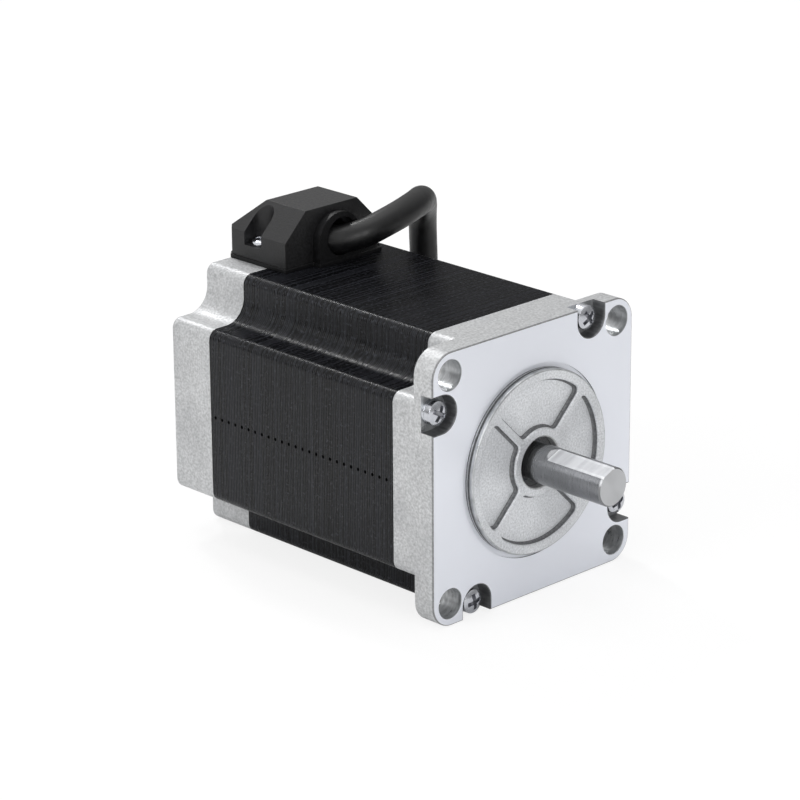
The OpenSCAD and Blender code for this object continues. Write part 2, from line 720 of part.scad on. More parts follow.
module cover_solid(inset, low) intersection() {
    translate([cover_front_x - inset, 0, 0]) rotate([90, 0, -90]) linear_extrude(cover_l + cover_w)
        cover_across(inset, low);
    translate([0, cover_w + cover_shift, 0]) rotate([90, 0, 0]) linear_extrude(2 * cover_w)
        cover_along(inset, low);
    translate([0, 0, low]) linear_extrude(cover_h + gasket_t) cover_plan(inset);
}

// Across the motor: upright sides, slopes and a flat top
module cover_across(inset, low) polygon([
    for (s = [-1, 1], p = s < 0 ? [0, 1, 2] : [2, 1, 0])
        let (side = cover_w / 2 - inset)
        let (foot = cover_foot - inset * slope_share)
        let (top_half = cover_w / 2 - cover_slope - inset * slope_share)
        [-cover_shift + s * (p == 2 ? top_half : side), p == 0 ? low : p == 1 ? foot : cover_top - inset]
]);

// Along the motor: an upright front, a flat top and a slope down to the back
module cover_along(inset, low) polygon([
    [cover_front_x - inset, low],
    [cover_front_x - inset, cover_top - inset],
    [cover_back_x + cover_slope + inset * slope_share, cover_top - inset],
    [cover_back_x + inset, cover_foot - inset * slope_share],
    [cover_back_x + inset, low]
]);

// From above: a rectangle with its two rear corners cut off
module cover_plan(inset) {
    half = cover_w / 2 - inset;
    back = cover_back_x + inset;
    cut = cover_corner - inset * slope_share;
    polygon([
        [cover_front_x - inset, cover_shift - half], [cover_front_x - inset, cover_shift + half],
        [back + cut, cover_shift + half], [back, cover_shift + half - cut],
        [back, cover_shift - half + cut], [back + cut, cover_shift - half]
    ]);
}

// The space round a cover screw: half round inside, straight out to the side
module recess_outline(s, r) translate([recess_x, cover_shift + s * recess_side]) {
    circle(r);
    translate([-r, s > 0 ? 0 : -cover_w / 2]) square([2 * r, cover_w / 2]);
}

module terminal_cover() color([0.12, 0.12, 0.13]) difference() {
    union() {
        difference() {
            cover_solid(0, cover_low);
            cover_solid(cover_t, cover_low - over);
        }
        intersection() {
            cover_solid(0, cover_low);
            translate([0, 0, cover_low]) linear_extrude(cover_h)
                for (s = [-1, 1]) recess_outline(s, recess_w / 2 + recess_wall);
        }
    }
    for (s = [-1, 1]) {
        translate([0, 0, recess_z]) linear_extrude(cover_h) recess_outline(s, recess_w / 2);
        translate([recess_x, cover_shift + s * recess_side, body_top])
            cylinder(h = cover_h, r = cover_screw_d / 2 + loose_gap);
    }
    translate([0, gland_y, gland_top_z])
        along_x(cover_front_x - cover_t - over, cover_t + 2 * over) arch(gland_neck_r + seat_gap, over);
}

module gasket_outline() difference() {
    union() {
        cover_plan(-gasket_lip);
        translate([cover_front_x, gland_y - gland_r]) square([gland_out, tongue_w]);
    }
    difference() {
        cover_plan(cover_t);
        for (s = [-1, 1]) recess_outline(s, recess_w / 2 + recess_wall);
    }
    for (s = [-1, 1]) translate([recess_x, cover_shift + s * recess_side])
        circle(cover_screw_d / 2 + loose_gap);
}

module terminal_gasket() color([0.1, 0.1, 0.11]) translate([0, 0, body_top])
    linear_extrude(gasket_t) gasket_outline();

// The gland's outline: a round top, upright sides and a flat foot on the gasket
module arch(r, below) {
    foot = cover_low - below - gland_top_z;
    intersection() {
        circle(r);
        translate([-r, foot]) square([2 * r, r - foot]);
    }
    translate([-r, foot]) square([2 * r, -foot]);
}

// The same outline, no higher than the space inside the cover
module low_arch(r) intersection() {
    arch(r, 0);
    translate([-cover_w / 2, cover_low - gland_top_z]) square([cover_w, gland_flange_top - cover_low]);
}

module cable_gland() color([0.08, 0.08, 0.08]) translate([0, gland_y, gland_top_z]) difference() {
    union() {
        along_x(gland_x - gland_rim_t, gland_rim_t) arch(gland_r, 0);
        along_x(cover_front_x - cover_t, cover_t + gland_out - gland_rim_t / 2) arch(gland_neck_r, 0);
        along_x(gland_flange_x, gland_flange_t) low_arch(gland_neck_r + gland_flange_w);
        along_x(gland_flange_x, gland_flange_t + cover_t / 2) low_arch(gland_neck_r);
    }
    translate([0, gland_hole_shift[0], gland_hole_shift[1]])
        rod_x(gland_x - gland_rim_t, gland_rim_t + over, gland_hole_d / 2);
    translate([0, gland_in_shift[0], gland_in_shift[1]])
        rod_x(gland_flange_x - over, gland_x - gland_rim_t / 2 - gland_flange_x + over, gland_in_d / 2);
}

// Cable and leads

module cable_tie() color("white") along_route(entry, entry_way)
    tube_x(tie_gap, tie_l, cable_d / 2 + tie_t, cable_d / 2 + tie_gap);

module inner_lead_1() color(LEAD_COLOURS[0]) tube(inner_lead(0), inner_lead_d / 2, 8);
module inner_lead_2() color(LEAD_COLOURS[1]) tube(inner_lead(1), inner_lead_d / 2, 8);
module inner_lead_3() color(LEAD_COLOURS[2]) tube(inner_lead(2), inner_lead_d / 2, 8);
module inner_lead_4() color(LEAD_COLOURS[3]) tube(inner_lead(3), inner_lead_d / 2, 8);

module cable() color([0.09, 0.09, 0.1]) tube(CABLE, cable_d / 2, 10);

module cable_sleeve() color("black") along_route(cable_end, cable_end_way)
    tube_x(-sleeve_grip, sleeve_l, cable_d / 2 + sleeve_wall, cable_d / 2 + seat_gap);

module flying_lead_1() color(LEAD_COLOURS[0]) tube(LEADS[0], lead_d / 2, 8);
module flying_lead_2() color(LEAD_COLOURS[1]) tube(LEADS[1], lead_d / 2, 8);
module flying_lead_3() color(LEAD_COLOURS[2]) tube(LEADS[2], lead_d / 2, 8);
module flying_lead_4() color(LEAD_COLOURS[3]) tube(LEADS[3], lead_d / 2, 8);

module lead_tips() color("silver") for (lead = LEADS) {
    last = lead[len(lead) - 1];
    tube([last, last + tip_l * unit(last - lead[len(lead) - 2])], lead_d / 2 * tip_r_share, 8);
}

front_cover();
stator_core();
rear_cover();
front_insulator();
rear_insulator();
coil(0);  // coil_1
coil(1);  // coil_2
coil(2);  // coil_3
coil(3);  // coil_4
coil(4);  // coil_5
coil(5);  // coil_6
coil(6);  // coil_7
coil(7);  // coil_8
connection_board();
body_screws();
lock_washers();
shaft();
rotor_cup_front();
rotor_magnet();
rotor_cup_rear();
front_outer_ring();
front_inner_ring();
front_balls();
front_cage();
front_seals();
rear_outer_ring();
rear_inner_ring();
rear_balls();
rear_cage();
rear_seals();
wave_washer();
terminal_cover();
terminal_gasket();
cover_screws();
cable_gland();
cable_tie();
inner_lead_1();
inner_lead_2();
inner_lead_3();
inner_lead_4();
cable();
cable_sleeve();
flying_lead_1();
flying_lead_2();
flying_lead_3();
flying_lead_4();
lead_tips();
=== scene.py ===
"""Looks of a hybrid stepper motor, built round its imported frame.

Lengths in the classes are millimetres in the frame of the CAD part: +X out of the mounting
face along the shaft, +Z towards the terminal cover. They become metres when a mesh is made.
"""
import json
import logging
import math
from dataclasses import dataclass
from enum import Enum

import bmesh
import bpy
import numpy as np
from mathutils import Matrix, Vector
from mathutils.geometry import tessellate_polygon


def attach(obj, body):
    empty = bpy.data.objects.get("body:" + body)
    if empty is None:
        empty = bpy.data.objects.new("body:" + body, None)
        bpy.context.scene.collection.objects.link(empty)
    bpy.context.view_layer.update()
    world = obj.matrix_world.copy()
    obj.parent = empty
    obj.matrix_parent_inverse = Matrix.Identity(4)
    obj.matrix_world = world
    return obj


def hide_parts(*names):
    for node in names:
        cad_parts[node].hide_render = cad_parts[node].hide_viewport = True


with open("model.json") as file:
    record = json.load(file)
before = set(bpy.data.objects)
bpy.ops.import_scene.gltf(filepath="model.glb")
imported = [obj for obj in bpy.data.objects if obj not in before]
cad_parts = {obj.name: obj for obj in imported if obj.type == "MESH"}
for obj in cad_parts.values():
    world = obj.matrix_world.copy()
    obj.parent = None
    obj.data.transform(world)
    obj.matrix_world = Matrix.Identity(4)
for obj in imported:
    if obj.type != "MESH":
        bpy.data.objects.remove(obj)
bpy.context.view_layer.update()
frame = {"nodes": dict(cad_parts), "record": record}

LOG = logging.getLogger("stepper_motor")
MM = 0.001
# Vertices nearer than this, in metres, are one.
WELD = 2e-6
# Faces that differ by less than this, in degrees, are one flat face of a CAD node.
FLAT_DEG = 0.4
TURN = 2 * np.pi
# Spans of a noise's value between which a finish goes from one end to the other.
NARROW = (0.35, 0.65)
WIDE = (0.3, 0.7)
UNIT = (0.0, 1.0)

Socket = bpy.types.NodeSocket
Tree = bpy.types.NodeTree
Piece = bpy.types.Object
Tint = str | Socket
Term = float | Socket


class Body(Enum):
    """The bodies that pieces ride on: the one that stands still and the one that turns."""

    HOUSING = "housing"
    ROTOR = "rotor"


class Skin(Enum):
    """Which finish of a casting a stretch of its surface has."""

    CAST = 0
    FACED = 1
    CUT_SHADE = 2
    BORE = 3
    BOSS = 4
    WALL_SHADE = 5


def arc(centre: tuple, radius: float, start: float, end: float, count: int) -> np.ndarray:
    """Points of a circle's arc: centre plus radius times cosine and sine of the angle.

    Args:
        centre: Y and Z of the centre.
        radius: Radius of the arc.
        start: First angle in degrees, from +Y towards +Z.
        end: Last angle in degrees.
        count: Number of points.

    Returns:
        An array of count rows, Y and Z.
    """
    a = np.radians(np.linspace(start, end, count))
    return np.stack([centre[0] + radius * np.cos(a), centre[1] + radius * np.sin(a)], 1)


def circle(radius: float, centre: tuple = (0.0, 0.0), count: int = 96) -> np.ndarray:
    """A closed ring of points, its last point left off."""
    return arc(centre, radius, 0, 360, count + 1)[:-1]


def quarter_turn(points: np.ndarray, turns: int) -> np.ndarray:
    """The points turned about the shaft by whole quarter turns: (y, z) becomes (-z, y).

    Args:
        points: Y and Z, one row each.
        turns: Number of quarter turns.

    Returns:
        The turned points.
    """
    for _ in range(turns % 4):
        points = np.stack([-points[:, 1], points[:, 0]], 1)
    return points


def inward(loop: np.ndarray) -> np.ndarray:
    """The mitred normal into the material at each point of a closed loop.

    The sum of the two edges' left normals, over one plus their product, so that every edge
    moves by the same distance.

    Args:
        loop: Y and Z; outlines run anticlockwise and holes clockwise.

    Returns:
        A normal for each point.
    """
    edge = np.roll(loop, -1, 0) - loop
    edge /= np.maximum(np.linalg.norm(edge, axis=1, keepdims=True), 1e-9)
    left = np.stack([-edge[:, 1], edge[:, 0]], 1)
    before = np.roll(left, 1, 0)
    product = np.sum(left * before, 1, keepdims=True)
    return (left + before) / np.maximum(1 + product, 0.5)


def rounded(x: float, way: float, radius: float, steps: int = 4) -> list:
    """Profile of a rounded edge: a quarter circle from the face at x into the side wall.

    Args:
        x: Place of the face.
        way: +1 or -1, the direction from the face into the wall.
        radius: Radius of the edge.
        steps: Number of chords.

    Returns:
        Pairs of x and inset.
    """
    a = np.radians(np.linspace(0, 90, steps + 1))
    return [(x + way * radius * (1 - math.cos(t)), radius * (1 - math.sin(t))) for t in a]


def placed(name: str, data: bpy.types.ID) -> Piece:
    """An object of a mesh, a lamp or a camera, linked to the scene.

    Args:
        name: The object's name.
        data: What it shows.

    Returns:
        The object.
    """
    piece = bpy.data.objects.new(name, data)
    bpy.context.scene.collection.objects.link(piece)
    return piece


def weld(mesh: bpy.types.Mesh, flat_deg: float = 0.0) -> None:
    """Merges vertices that lie together and turns the faces outwards.

    Args:
        mesh: The mesh, changed in place.
        flat_deg: Angle under which faces become one, or zero to only clear faces of no size.
    """
    work = bmesh.new()
    work.from_mesh(mesh)
    bmesh.ops.remove_doubles(work, verts=work.verts, dist=WELD)
    if flat_deg:
        bmesh.ops.dissolve_limit(work, angle_limit=math.radians(flat_deg), verts=work.verts,
                                 edges=work.edges)
    else:
        bmesh.ops.dissolve_degenerate(work, edges=work.edges, dist=WELD / 2)
    bmesh.ops.recalc_face_normals(work, faces=work.faces)
    work.to_mesh(mesh)
    work.free()


def soften(piece: Piece, name: str, edge: float, steps: int, method: str) -> bpy.types.Modifier:
    """A bevel on the piece's edges.

    Args:
        piece: The piece.
        name: The modifier's name.
        edge: Radius of the softened edges.
        steps: Segments of an edge.
        method: Whether edges are chosen by angle or by weight.

    Returns:
        The modifier, for what differs.
    """
    bevel = piece.modifiers.new(name, "BEVEL")
    bevel.width = edge * MM
    bevel.segments = steps
    bevel.limit_method = method
    bevel.harden_normals = True
    return bevel


class Surface:
    """Collects grids and flat caps, and welds them into one closed mesh."""

    def __init__(self) -> None:
        """Starts empty."""
        self.points: list = []
        self.faces: list = []
        self.skins: list = []
        self.smooth: list = []
        self.count = 0

    def add(self, points: np.ndarray, faces: np.ndarray, skin: np.ndarray, smooth: bool) -> None:
        """Adds points, the faces between them, and each face's skin.

        Args:
            points: X, Y and Z, one row each.
            faces: Numbers of each face's points, one row each.
            skin: One skin's number, or one for each face.
            smooth: Whether the faces are curved.
        """
        self.points.append(points)
        self.faces.extend((faces + self.count).tolist())
        self.skins.append(np.broadcast_to(skin, len(faces)))
        self.smooth.append(np.full(len(faces), smooth))
        self.count += len(points)

    def grid(self, points: np.ndarray, skin: np.ndarray | int = 0) -> None:
        """Adds a closed band of quads over an array of rows, columns and three coordinates.

        Args:
            points: The array; its last column meets its first.
            skin: One skin's number, or one for each quad.
        """
        rows, columns = points.shape[:2]
        index = np.arange(rows * columns).reshape(rows, columns)
        nxt = np.roll(index, -1, 1)
        quads = np.stack([index[:-1], nxt[:-1], nxt[1:], index[1:]], -1)
        skin = np.broadcast_to(np.asarray(skin), (rows - 1, columns)).reshape(-1)
        self.add(points.reshape(-1, 3), quads.reshape(-1, 4), skin, True)

    def carry(self, loop: np.ndarray, profile: list, skin: Skin | list = Skin.CAST) -> None:
        """A profile of x and inset carried round a closed loop of Y and Z.

        The point at row k, column i is the loop's point i moved inwards by inset k, at x k.

        Args:
            loop: The closed loop.
            profile: Pairs of x and inset.
            skin: One skin, or one for each of the loop's edges.
        """
        prof = np.array(profile, float)
        skin = np.array([s.value for s in skin]) if isinstance(skin, list) else skin.value
        yz = loop[None] + prof[:, 1, None, None] * inward(loop)[None]
        x = np.broadcast_to(prof[:, 0, None, None], yz.shape[:2] + (1,))
        self.grid(np.concatenate([x, yz], -1), skin)

    def wall(self, loop: np.ndarray, start: float, end: float, skin: Skin = Skin.CAST) -> None:
        """A straight wall on the loop from one x to another."""
        self.carry(loop, [(start, 0), (end, 0)], skin)

    def cap(self, x: float, loops: list, skin: Skin = Skin.CAST) -> None:
        """A flat face at x between an outline and its holes.

        Args:
            x: Place of the face.
            loops: The outline, then its holes.
            skin: The face's skin.
        """
        flat = np.vstack(loops)
        rings = [[Vector((float(a), float(b), 0)) for a, b in ring] for ring in loops]
        tris = np.array(tessellate_polygon(rings))
        points = np.concatenate([np.full((len(flat), 1), x), flat], 1)
        self.add(points, tris, skin.value, False)

    def make(self, name: str, sharp: float = 32.0) -> Piece:
        """Welds everything, turns the faces outwards and makes the object.

        Args:
            name: The piece's name.
            sharp: Angle in degrees from which an edge stays sharp.

        Returns:
            The object, at the origin, with its place in its mesh.
        """
        mesh = bpy.data.meshes.new(name)
        mesh.from_pydata((np.vstack(self.points) * MM).tolist(), [], self.faces)
        mesh.polygons.foreach_set("material_index", np.concatenate(self.skins).astype(np.int32))
        mesh.polygons.foreach_set("use_smooth", np.concatenate(self.smooth))
        weld(mesh)
        # Marking the sharp edges clears the flat faces, so they are kept and put back.
        smooth = np.empty(len(mesh.polygons), bool)
        mesh.polygons.foreach_get("use_smooth", smooth)
        mesh.set_sharp_from_angle(angle=math.radians(sharp))
        mesh.polygons.foreach_set("use_smooth", smooth)
        return placed(name, mesh)


def vertices_of(mesh: bpy.types.Mesh) -> np.ndarray:
    """The mesh's vertices, one row each.

    Args:
        mesh: The mesh.

    Returns:
        X, Y and Z.
    """
    co = np.empty(len(mesh.vertices) * 3, np.float32)
    mesh.vertices.foreach_get("co", co)
    return co.reshape(-1, 3)


def cad_copy(node: str, name: str, edge: float, sharp: float = 28.0, steps: int = 3) -> Piece:
    """A merged copy of a CAD node with softened edges.

    Args:
        node: The CAD node, whose own mesh stays as it is.
        name: The new piece's name.
        edge: Radius of the softened edges, or zero for none.
        sharp: Angle in degrees above which an edge is softened or kept sharp.
        steps: Segments of a softened edge.

    Returns:
        The new object.
    """
    source = frame["nodes"][node].data
    mesh = bpy.data.meshes.new(name)
    faces = [list(p.vertices) for p in source.polygons]
    mesh.from_pydata(vertices_of(source).tolist(), [], faces)
    weld(mesh, FLAT_DEG)
    mesh.polygons.foreach_set("use_smooth", np.ones(len(mesh.polygons), bool))
    mesh.set_sharp_from_angle(angle=math.radians(sharp))
    piece = placed(name, mesh)
    if edge:
        bevel = soften(piece, "soft_edges", edge, steps, "ANGLE")
        bevel.angle_limit = math.radians(sharp)
        bevel.miter_outer = "MITER_ARC"
    return piece


def smooth_route(route: np.ndarray, steps: int = 6) -> np.ndarray:
    """A Catmull-Rom curve through the route: each stretch is the cubic that has at its ends
    half the chord between the neighbours as its slope.

    Args:
        route: Points, one row each.
        steps: Points on each stretch.

    Returns:
        The curve's points.
    """
    ends = np.vstack([2 * route[0] - route[1], route, 2 * route[-1] - route[-2]])
    p0, p1, p2, p3 = (ends[i:len(ends) - 3 + i, None] for i in range(4))
    t = np.linspace(0, 1, steps, endpoint=False)[None, :, None]
    curve = 0.5 * (2 * p1 + (p2 - p0) * t + (2 * p0 - 5 * p1 + 4 * p2 - p3) * t ** 2
                   + (3 * p1 - p0 - 3 * p2 + p3) * t ** 3)
    return np.vstack([curve.reshape(-1, 3), route[-1:]])


def tube(name: str, path: np.ndarray, radii: np.ndarray, sides: int = 32) -> Piece:
    """A closed tube: each ring is the path's point plus radius times two directions square
    to it, turned along with the path so that the tube doesn't twist.

    Args:
        name: The piece's name.
        path: Points in millimetres.
        radii: Radius at each point.
        sides: Points of a ring.

    Returns:
        The object.
    """
    way = np.gradient(path, axis=0)
    way /= np.linalg.norm(way, axis=1, keepdims=True)
    side = np.cross(way[0], (0.3, 0.2, 0.9))
    sides_at = []
    for t in way:
        side = side - np.dot(side, t) * t
        side = side / np.linalg.norm(side)
        sides_at.append(side)
    first = np.array(sides_at)
    second = np.cross(way, first)
    a = np.linspace(0, TURN, sides, endpoint=False)[None, :, None]
    ring = np.cos(a) * first[:, None] + np.sin(a) * second[:, None]
    points = path[:, None] + ring * radii[:, None, None]
    ends = np.broadcast_to(path[[0, -1], None], (2, sides, 3))
    surface = Surface()
    surface.grid(np.concatenate([ends[:1], points, ends[1:]]))
    return surface.make(name, 40)


def linear(tone: str) -> tuple:
    """An sRGB hex value turned to linear red, green, blue and alpha."""
    parts = [int(tone.lstrip("#")[i:i + 2], 16) / 255 for i in (0, 2, 4)]
    return tuple(c / 12.92 if c <= 0.04045 else ((c + 0.055) / 1.055) ** 2.4
                 for c in parts) + (1.0,)


def add_node(tree: Tree, kind: str, props: dict | None = None, links: dict | None = None,
             **values: float | tuple) -> bpy.types.Node:
    """Adds one node with its settings, socket values and links.

    Args:
        tree: The node tree.
        kind: The node's type name.
        props: Settings of the node itself.
        links: Input name or number to the output that feeds it.
        **values: Input names, spaces written as underscores, to values.

    Returns:
        The node.
    """
    made = tree.nodes.new(kind)
    for key, value in (props or {}).items():
        setattr(made, key, value)
    for key, value in values.items():
        key = int(key[1:]) if key[0] == "_" else key.replace("_", " ")
        made.inputs[key].default_value = value
    for key, output in (links or {}).items():
        tree.links.new(output, made.inputs[key])
    return made


def calc(tree: Tree, operation: str, *terms: Term, clamp: bool = False) -> Socket:
    """The output of one math node whose terms are plain numbers or other outputs.

    Args:
        tree: The node tree.
        operation: What the node works out.
        *terms: Its terms, in order.
        clamp: Whether the outcome is held between zero and one.

    Returns:
        The outcome.
    """
    made = add_node(tree, "ShaderNodeMath", {"operation": operation, "use_clamp": clamp})
    for socket, term in zip(made.inputs, terms):
        if isinstance(term, float):
            socket.default_value = term
        else:
            tree.links.new(term, socket)
    return made.outputs[0]


def split(tree: Tree, vector: Socket) -> bpy.types.NodeOutputs:
    """The X, Y and Z outputs of a vector."""
    return add_node(tree, "ShaderNodeSeparateXYZ", {}, {"Vector": vector}).outputs


def ramp(tree: Tree, value: Socket, span: tuple, first: float, last: float) -> Socket:
    """A value within the span turned into one from first to last, held at the ends."""
    return add_node(tree, "ShaderNodeMapRange", {}, {"Value": value}, From_Min=span[0],
                    From_Max=span[1], To_Min=first, To_Max=last).outputs["Result"]


def blend(tree: Tree, share: Socket, first: Tint, second: Tint) -> Socket:
    """Two colours mixed by a share; each is a hex value or another node's output.

    Args:
        tree: The node tree.
        share: How much of the second colour there is.
        first: The first colour.
        second: The second colour.

    Returns:
        The mixed colour.
    """
    mixed = add_node(tree, "ShaderNodeMix", {"data_type": "RGBA"}, {0: share})
    for socket, colour in ((6, first), (7, second)):
        if isinstance(colour, str):
            mixed.inputs[socket].default_value = linear(colour)
        else:
            tree.links.new(colour, mixed.inputs[socket])
    return mixed.outputs[2]


def grain(tree: Tree, vector: Socket, size: float, detail: float = 3.0) -> Socket:
    """Noise whose lumps are about size millimetres across."""
    return add_node(tree, "ShaderNodeTexNoise", {}, {"Vector": vector},
                    Scale=1 / (size * MM * 2), Detail=detail).outputs["Fac"]


def grain_along(tree: Tree, value: Socket, scale: float) -> Socket:
    """Noise along one direction only."""
    return add_node(tree, "ShaderNodeTexNoise", {"noise_dimensions": "1D"}, {"W": value},
                    Scale=scale, Detail=2.0).outputs["Fac"]


@dataclass(frozen=True)
class Finish:
    """A fine-grained finish: two tones mixed by noise, with roughness and bump from it."""

    name: str
    tone: str
    tone_b: str
    roughness: float
    metallic: float = 0.0
    grain_mm: float = 0.3
    bump_mm: float = 0.01
    rough_swing: float = 0.08
    specular: float = 0.5
    stretch: tuple = (1.0, 1.0, 1.0)

    def build(self) -> bpy.types.Material:
        """Makes the material with its noise, colour, roughness and bump nodes.

        Returns:
            The material.
        """
        material = bpy.data.materials.new(self.name)
        material.use_nodes = True
        tree = material.node_tree
        shader = tree.nodes["Principled BSDF"]
        shader.inputs["Metallic"].default_value = self.metallic
        shader.inputs["Specular IOR Level"].default_value = self.specular
        coords = add_node(tree, "ShaderNodeTexCoord").outputs["Object"]
        drawn = add_node(tree, "ShaderNodeMapping", {}, {"Vector": coords}, Scale=self.stretch)
        self.dress(tree, shader, drawn.outputs["Vector"], coords)
        return material

    def coat(self, tree: Tree, shader: bpy.types.Node, colour: Socket, uneven: Socket,
             span: tuple, height: Socket) -> None:
        """Wires the shader's colour, its roughness from an uneven value, and its bump.

        Args:
            tree: The material's tree.
            shader: Its shader.
            colour: The colour.
            uneven: The value that the roughness follows.
            span: Values between which the roughness swings.
            height: The height of the bump.
        """
        tree.links.new(colour, shader.inputs["Base Color"])
        rough = ramp(tree, uneven, span, self.roughness - self.rough_swing,
                     self.roughness + self.rough_swing)
        tree.links.new(rough, shader.inputs["Roughness"])
        bump = add_node(tree, "ShaderNodeBump", {}, {"Height": height},
                        Distance=self.bump_mm * MM, Strength=1.0)
        tree.links.new(bump.outputs["Normal"], shader.inputs["Normal"])

    def dress(self, tree: Tree, shader: bpy.types.Node, vector: Socket, coords: Socket) -> None:
        """Noise grain in colour, roughness and bump.

        Args:
            tree: The material's tree.
            shader: Its shader.
            vector: The object's coordinates, drawn out.
            coords: The object's coordinates.
        """
        fine = grain(tree, vector, self.grain_mm)
        colour = blend(tree, ramp(tree, fine, NARROW, *UNIT), self.tone, self.tone_b)
        self.coat(tree, shader, colour, fine, WIDE, fine)


@dataclass(frozen=True)
class CastAluminium(Finish):
    """Die-cast aluminium: fine pits over faint broad clouds, with a dark line of painted shade
    just behind the faced front."""

    cloud_mm: float = 5.0
    cloud_span: tuple = (0.35, 0.75)
    cloud_tone: str = "#85868A"
    cloud_share: float = 0.25
    shade_line_tone: str = "#3C3C3E"
    shade_line_share: float = 0.6
    shade_line_start: tuple = (-0.42, -0.26)
    shade_line_end: tuple = (-0.02, 0.0)

    def dress(self, tree: Tree, shader: bpy.types.Node, vector: Socket, coords: Socket) -> None:
        """Pits, clouds and the line of painted shade, which is the product of a rising and a
        falling ramp.

        Args:
            tree: The material's tree.
            shader: Its shader.
            vector: The object's coordinates, drawn out.
            coords: The object's coordinates.
        """
        fine = grain(tree, vector, self.grain_mm, 2.0)
        cloud = grain(tree, vector, self.cloud_mm, 2.0)
        colour = blend(tree, ramp(tree, fine, WIDE, *UNIT), self.tone, self.tone_b)
        veil = ramp(tree, cloud, self.cloud_span, 0.0, self.cloud_share)
        colour = blend(tree, veil, colour, self.cloud_tone)
        # A line of painted shade on the cast sides, just behind the faced front.
        x = split(tree, coords)["X"]
        start, end = np.array([self.shade_line_start, self.shade_line_end]) * MM
        line = calc(tree, "MULTIPLY", ramp(tree, x, start, 0.0, self.shade_line_share),
                    ramp(tree, x, end, 1.0, 0.0))
        self.coat(tree, shader, blend(tree, line, colour, self.shade_line_tone), cloud, WIDE, fine)


@dataclass(frozen=True)
class LaminationStack(Finish):
    """Punched steel sheets, blackened and pressed together: upright lines a sheet apart,
    some brighter than others, and a row of small dots along the middle of the side.

    The sheets are half a millimetre thick, under two pixels in the picture, so brighter
    groups of sheets about a millimetre apart are drawn as well. The top's blacking is matt, so
    that it stays the darkest part although it faces the light.
    """

    sheet_mm: float = 0.5
    sheet_share: float = 0.7
    sheet_lift: float = 0.35
    edge_span: tuple = (0.0, 0.2)
    group_scale: float = 0.55
    group_share: float = 0.5
    speck_tone: str = "#3F4147"
    speck_span: tuple = (0.55, 0.7)
    speck_share: float = 0.6
    dot_tone: str = "#020202"
    dot_pitch_mm: float = 2.013
    dot_x_mm: float = -63.10
    dot_z_mm: float = 0.13
    dot_r_mm: float = 0.34
    dot_depth: float = -8.0
    dots_from_mm: float = -63.8
    dots_to_mm: float = -12.2
    side_y_mm: float = -27.0
    top_span: tuple = (0.8, 0.98)
    top_specular: float = 0.025

    def dress(self, tree: Tree, shader: bpy.types.Node, vector: Socket, coords: Socket) -> None:
        """Sheet lines in colour, roughness and bump, dots and a fine speckle.

        Args:
            tree: The material's tree.
            shader: Its shader.
            vector: The object's coordinates, drawn out.
            coords: The object's coordinates.
        """
        axes = split(tree, coords)
        sheet = calc(tree, "DIVIDE", axes["X"], self.sheet_mm * MM)
        each = add_node(tree, "ShaderNodeTexWhiteNoise", {"noise_dimensions": "1D"},
                        {"W": calc(tree, "FLOOR", sheet)}).outputs["Value"]
        groups = grain_along(tree, sheet, self.group_scale)
        share = calc(tree, "ADD", ramp(tree, each, (0.3, 1.0), 0.0, self.sheet_share),
                     ramp(tree, groups, (0.5, 0.8), 0.0, self.group_share))
        colour = blend(tree, share, self.tone, self.tone_b)
        fine = grain(tree, vector, self.grain_mm)
        specks = ramp(tree, fine, self.speck_span, 0.0, self.speck_share)
        colour = blend(tree, specks, colour, self.speck_tone)
        dots = self.dots(tree, axes)
        facing = split(tree, add_node(tree, "ShaderNodeTexCoord").outputs["Normal"])["Z"]
        gloss = ramp(tree, facing, self.top_span, self.specular, self.top_specular)
        bare = calc(tree, "SUBTRACT", gloss, dots, clamp=True)
        tree.links.new(bare, shader.inputs["Specular IOR Level"])
        within = calc(tree, "PINGPONG", sheet, 0.5)
        height = calc(tree, "ADD", ramp(tree, within, self.edge_span, *UNIT),
                      ramp(tree, each, UNIT, 0.0, self.sheet_lift))
        height = calc(tree, "MULTIPLY_ADD", dots, self.dot_depth, height)
        self.coat(tree, shader, blend(tree, dots, colour, self.dot_tone), each, UNIT, height)

    def dots(self, tree: Tree, axes: bpy.types.NodeOutputs) -> Socket:
        """One within a dot: where the squares of the distances along X and Z from the nearest
        dot's middle add up to less than its radius squared, on the -Y side only.

        Args:
            tree: The material's tree.
            axes: X, Y and Z of the object's coordinates.

        Returns:
            One within a dot and zero elsewhere.
        """
        from_first = calc(tree, "SUBTRACT", axes["X"], self.dot_x_mm * MM)
        along = calc(tree, "PINGPONG", from_first, self.dot_pitch_mm * MM / 2)
        above = calc(tree, "SUBTRACT", axes["Z"], self.dot_z_mm * MM)
        total = calc(tree, "ADD", calc(tree, "POWER", along, 2.0), calc(tree, "POWER", above, 2.0))
        mask = calc(tree, "LESS_THAN", total, (self.dot_r_mm * MM) ** 2)
        for axis, test, limit in (("Y", "LESS_THAN", self.side_y_mm),
                                  ("X", "GREATER_THAN", self.dots_from_mm),
                                  ("X", "LESS_THAN", self.dots_to_mm)):
            mask = calc(tree, "MULTIPLY", mask, calc(tree, test, axes[axis], limit * MM))
        return mask


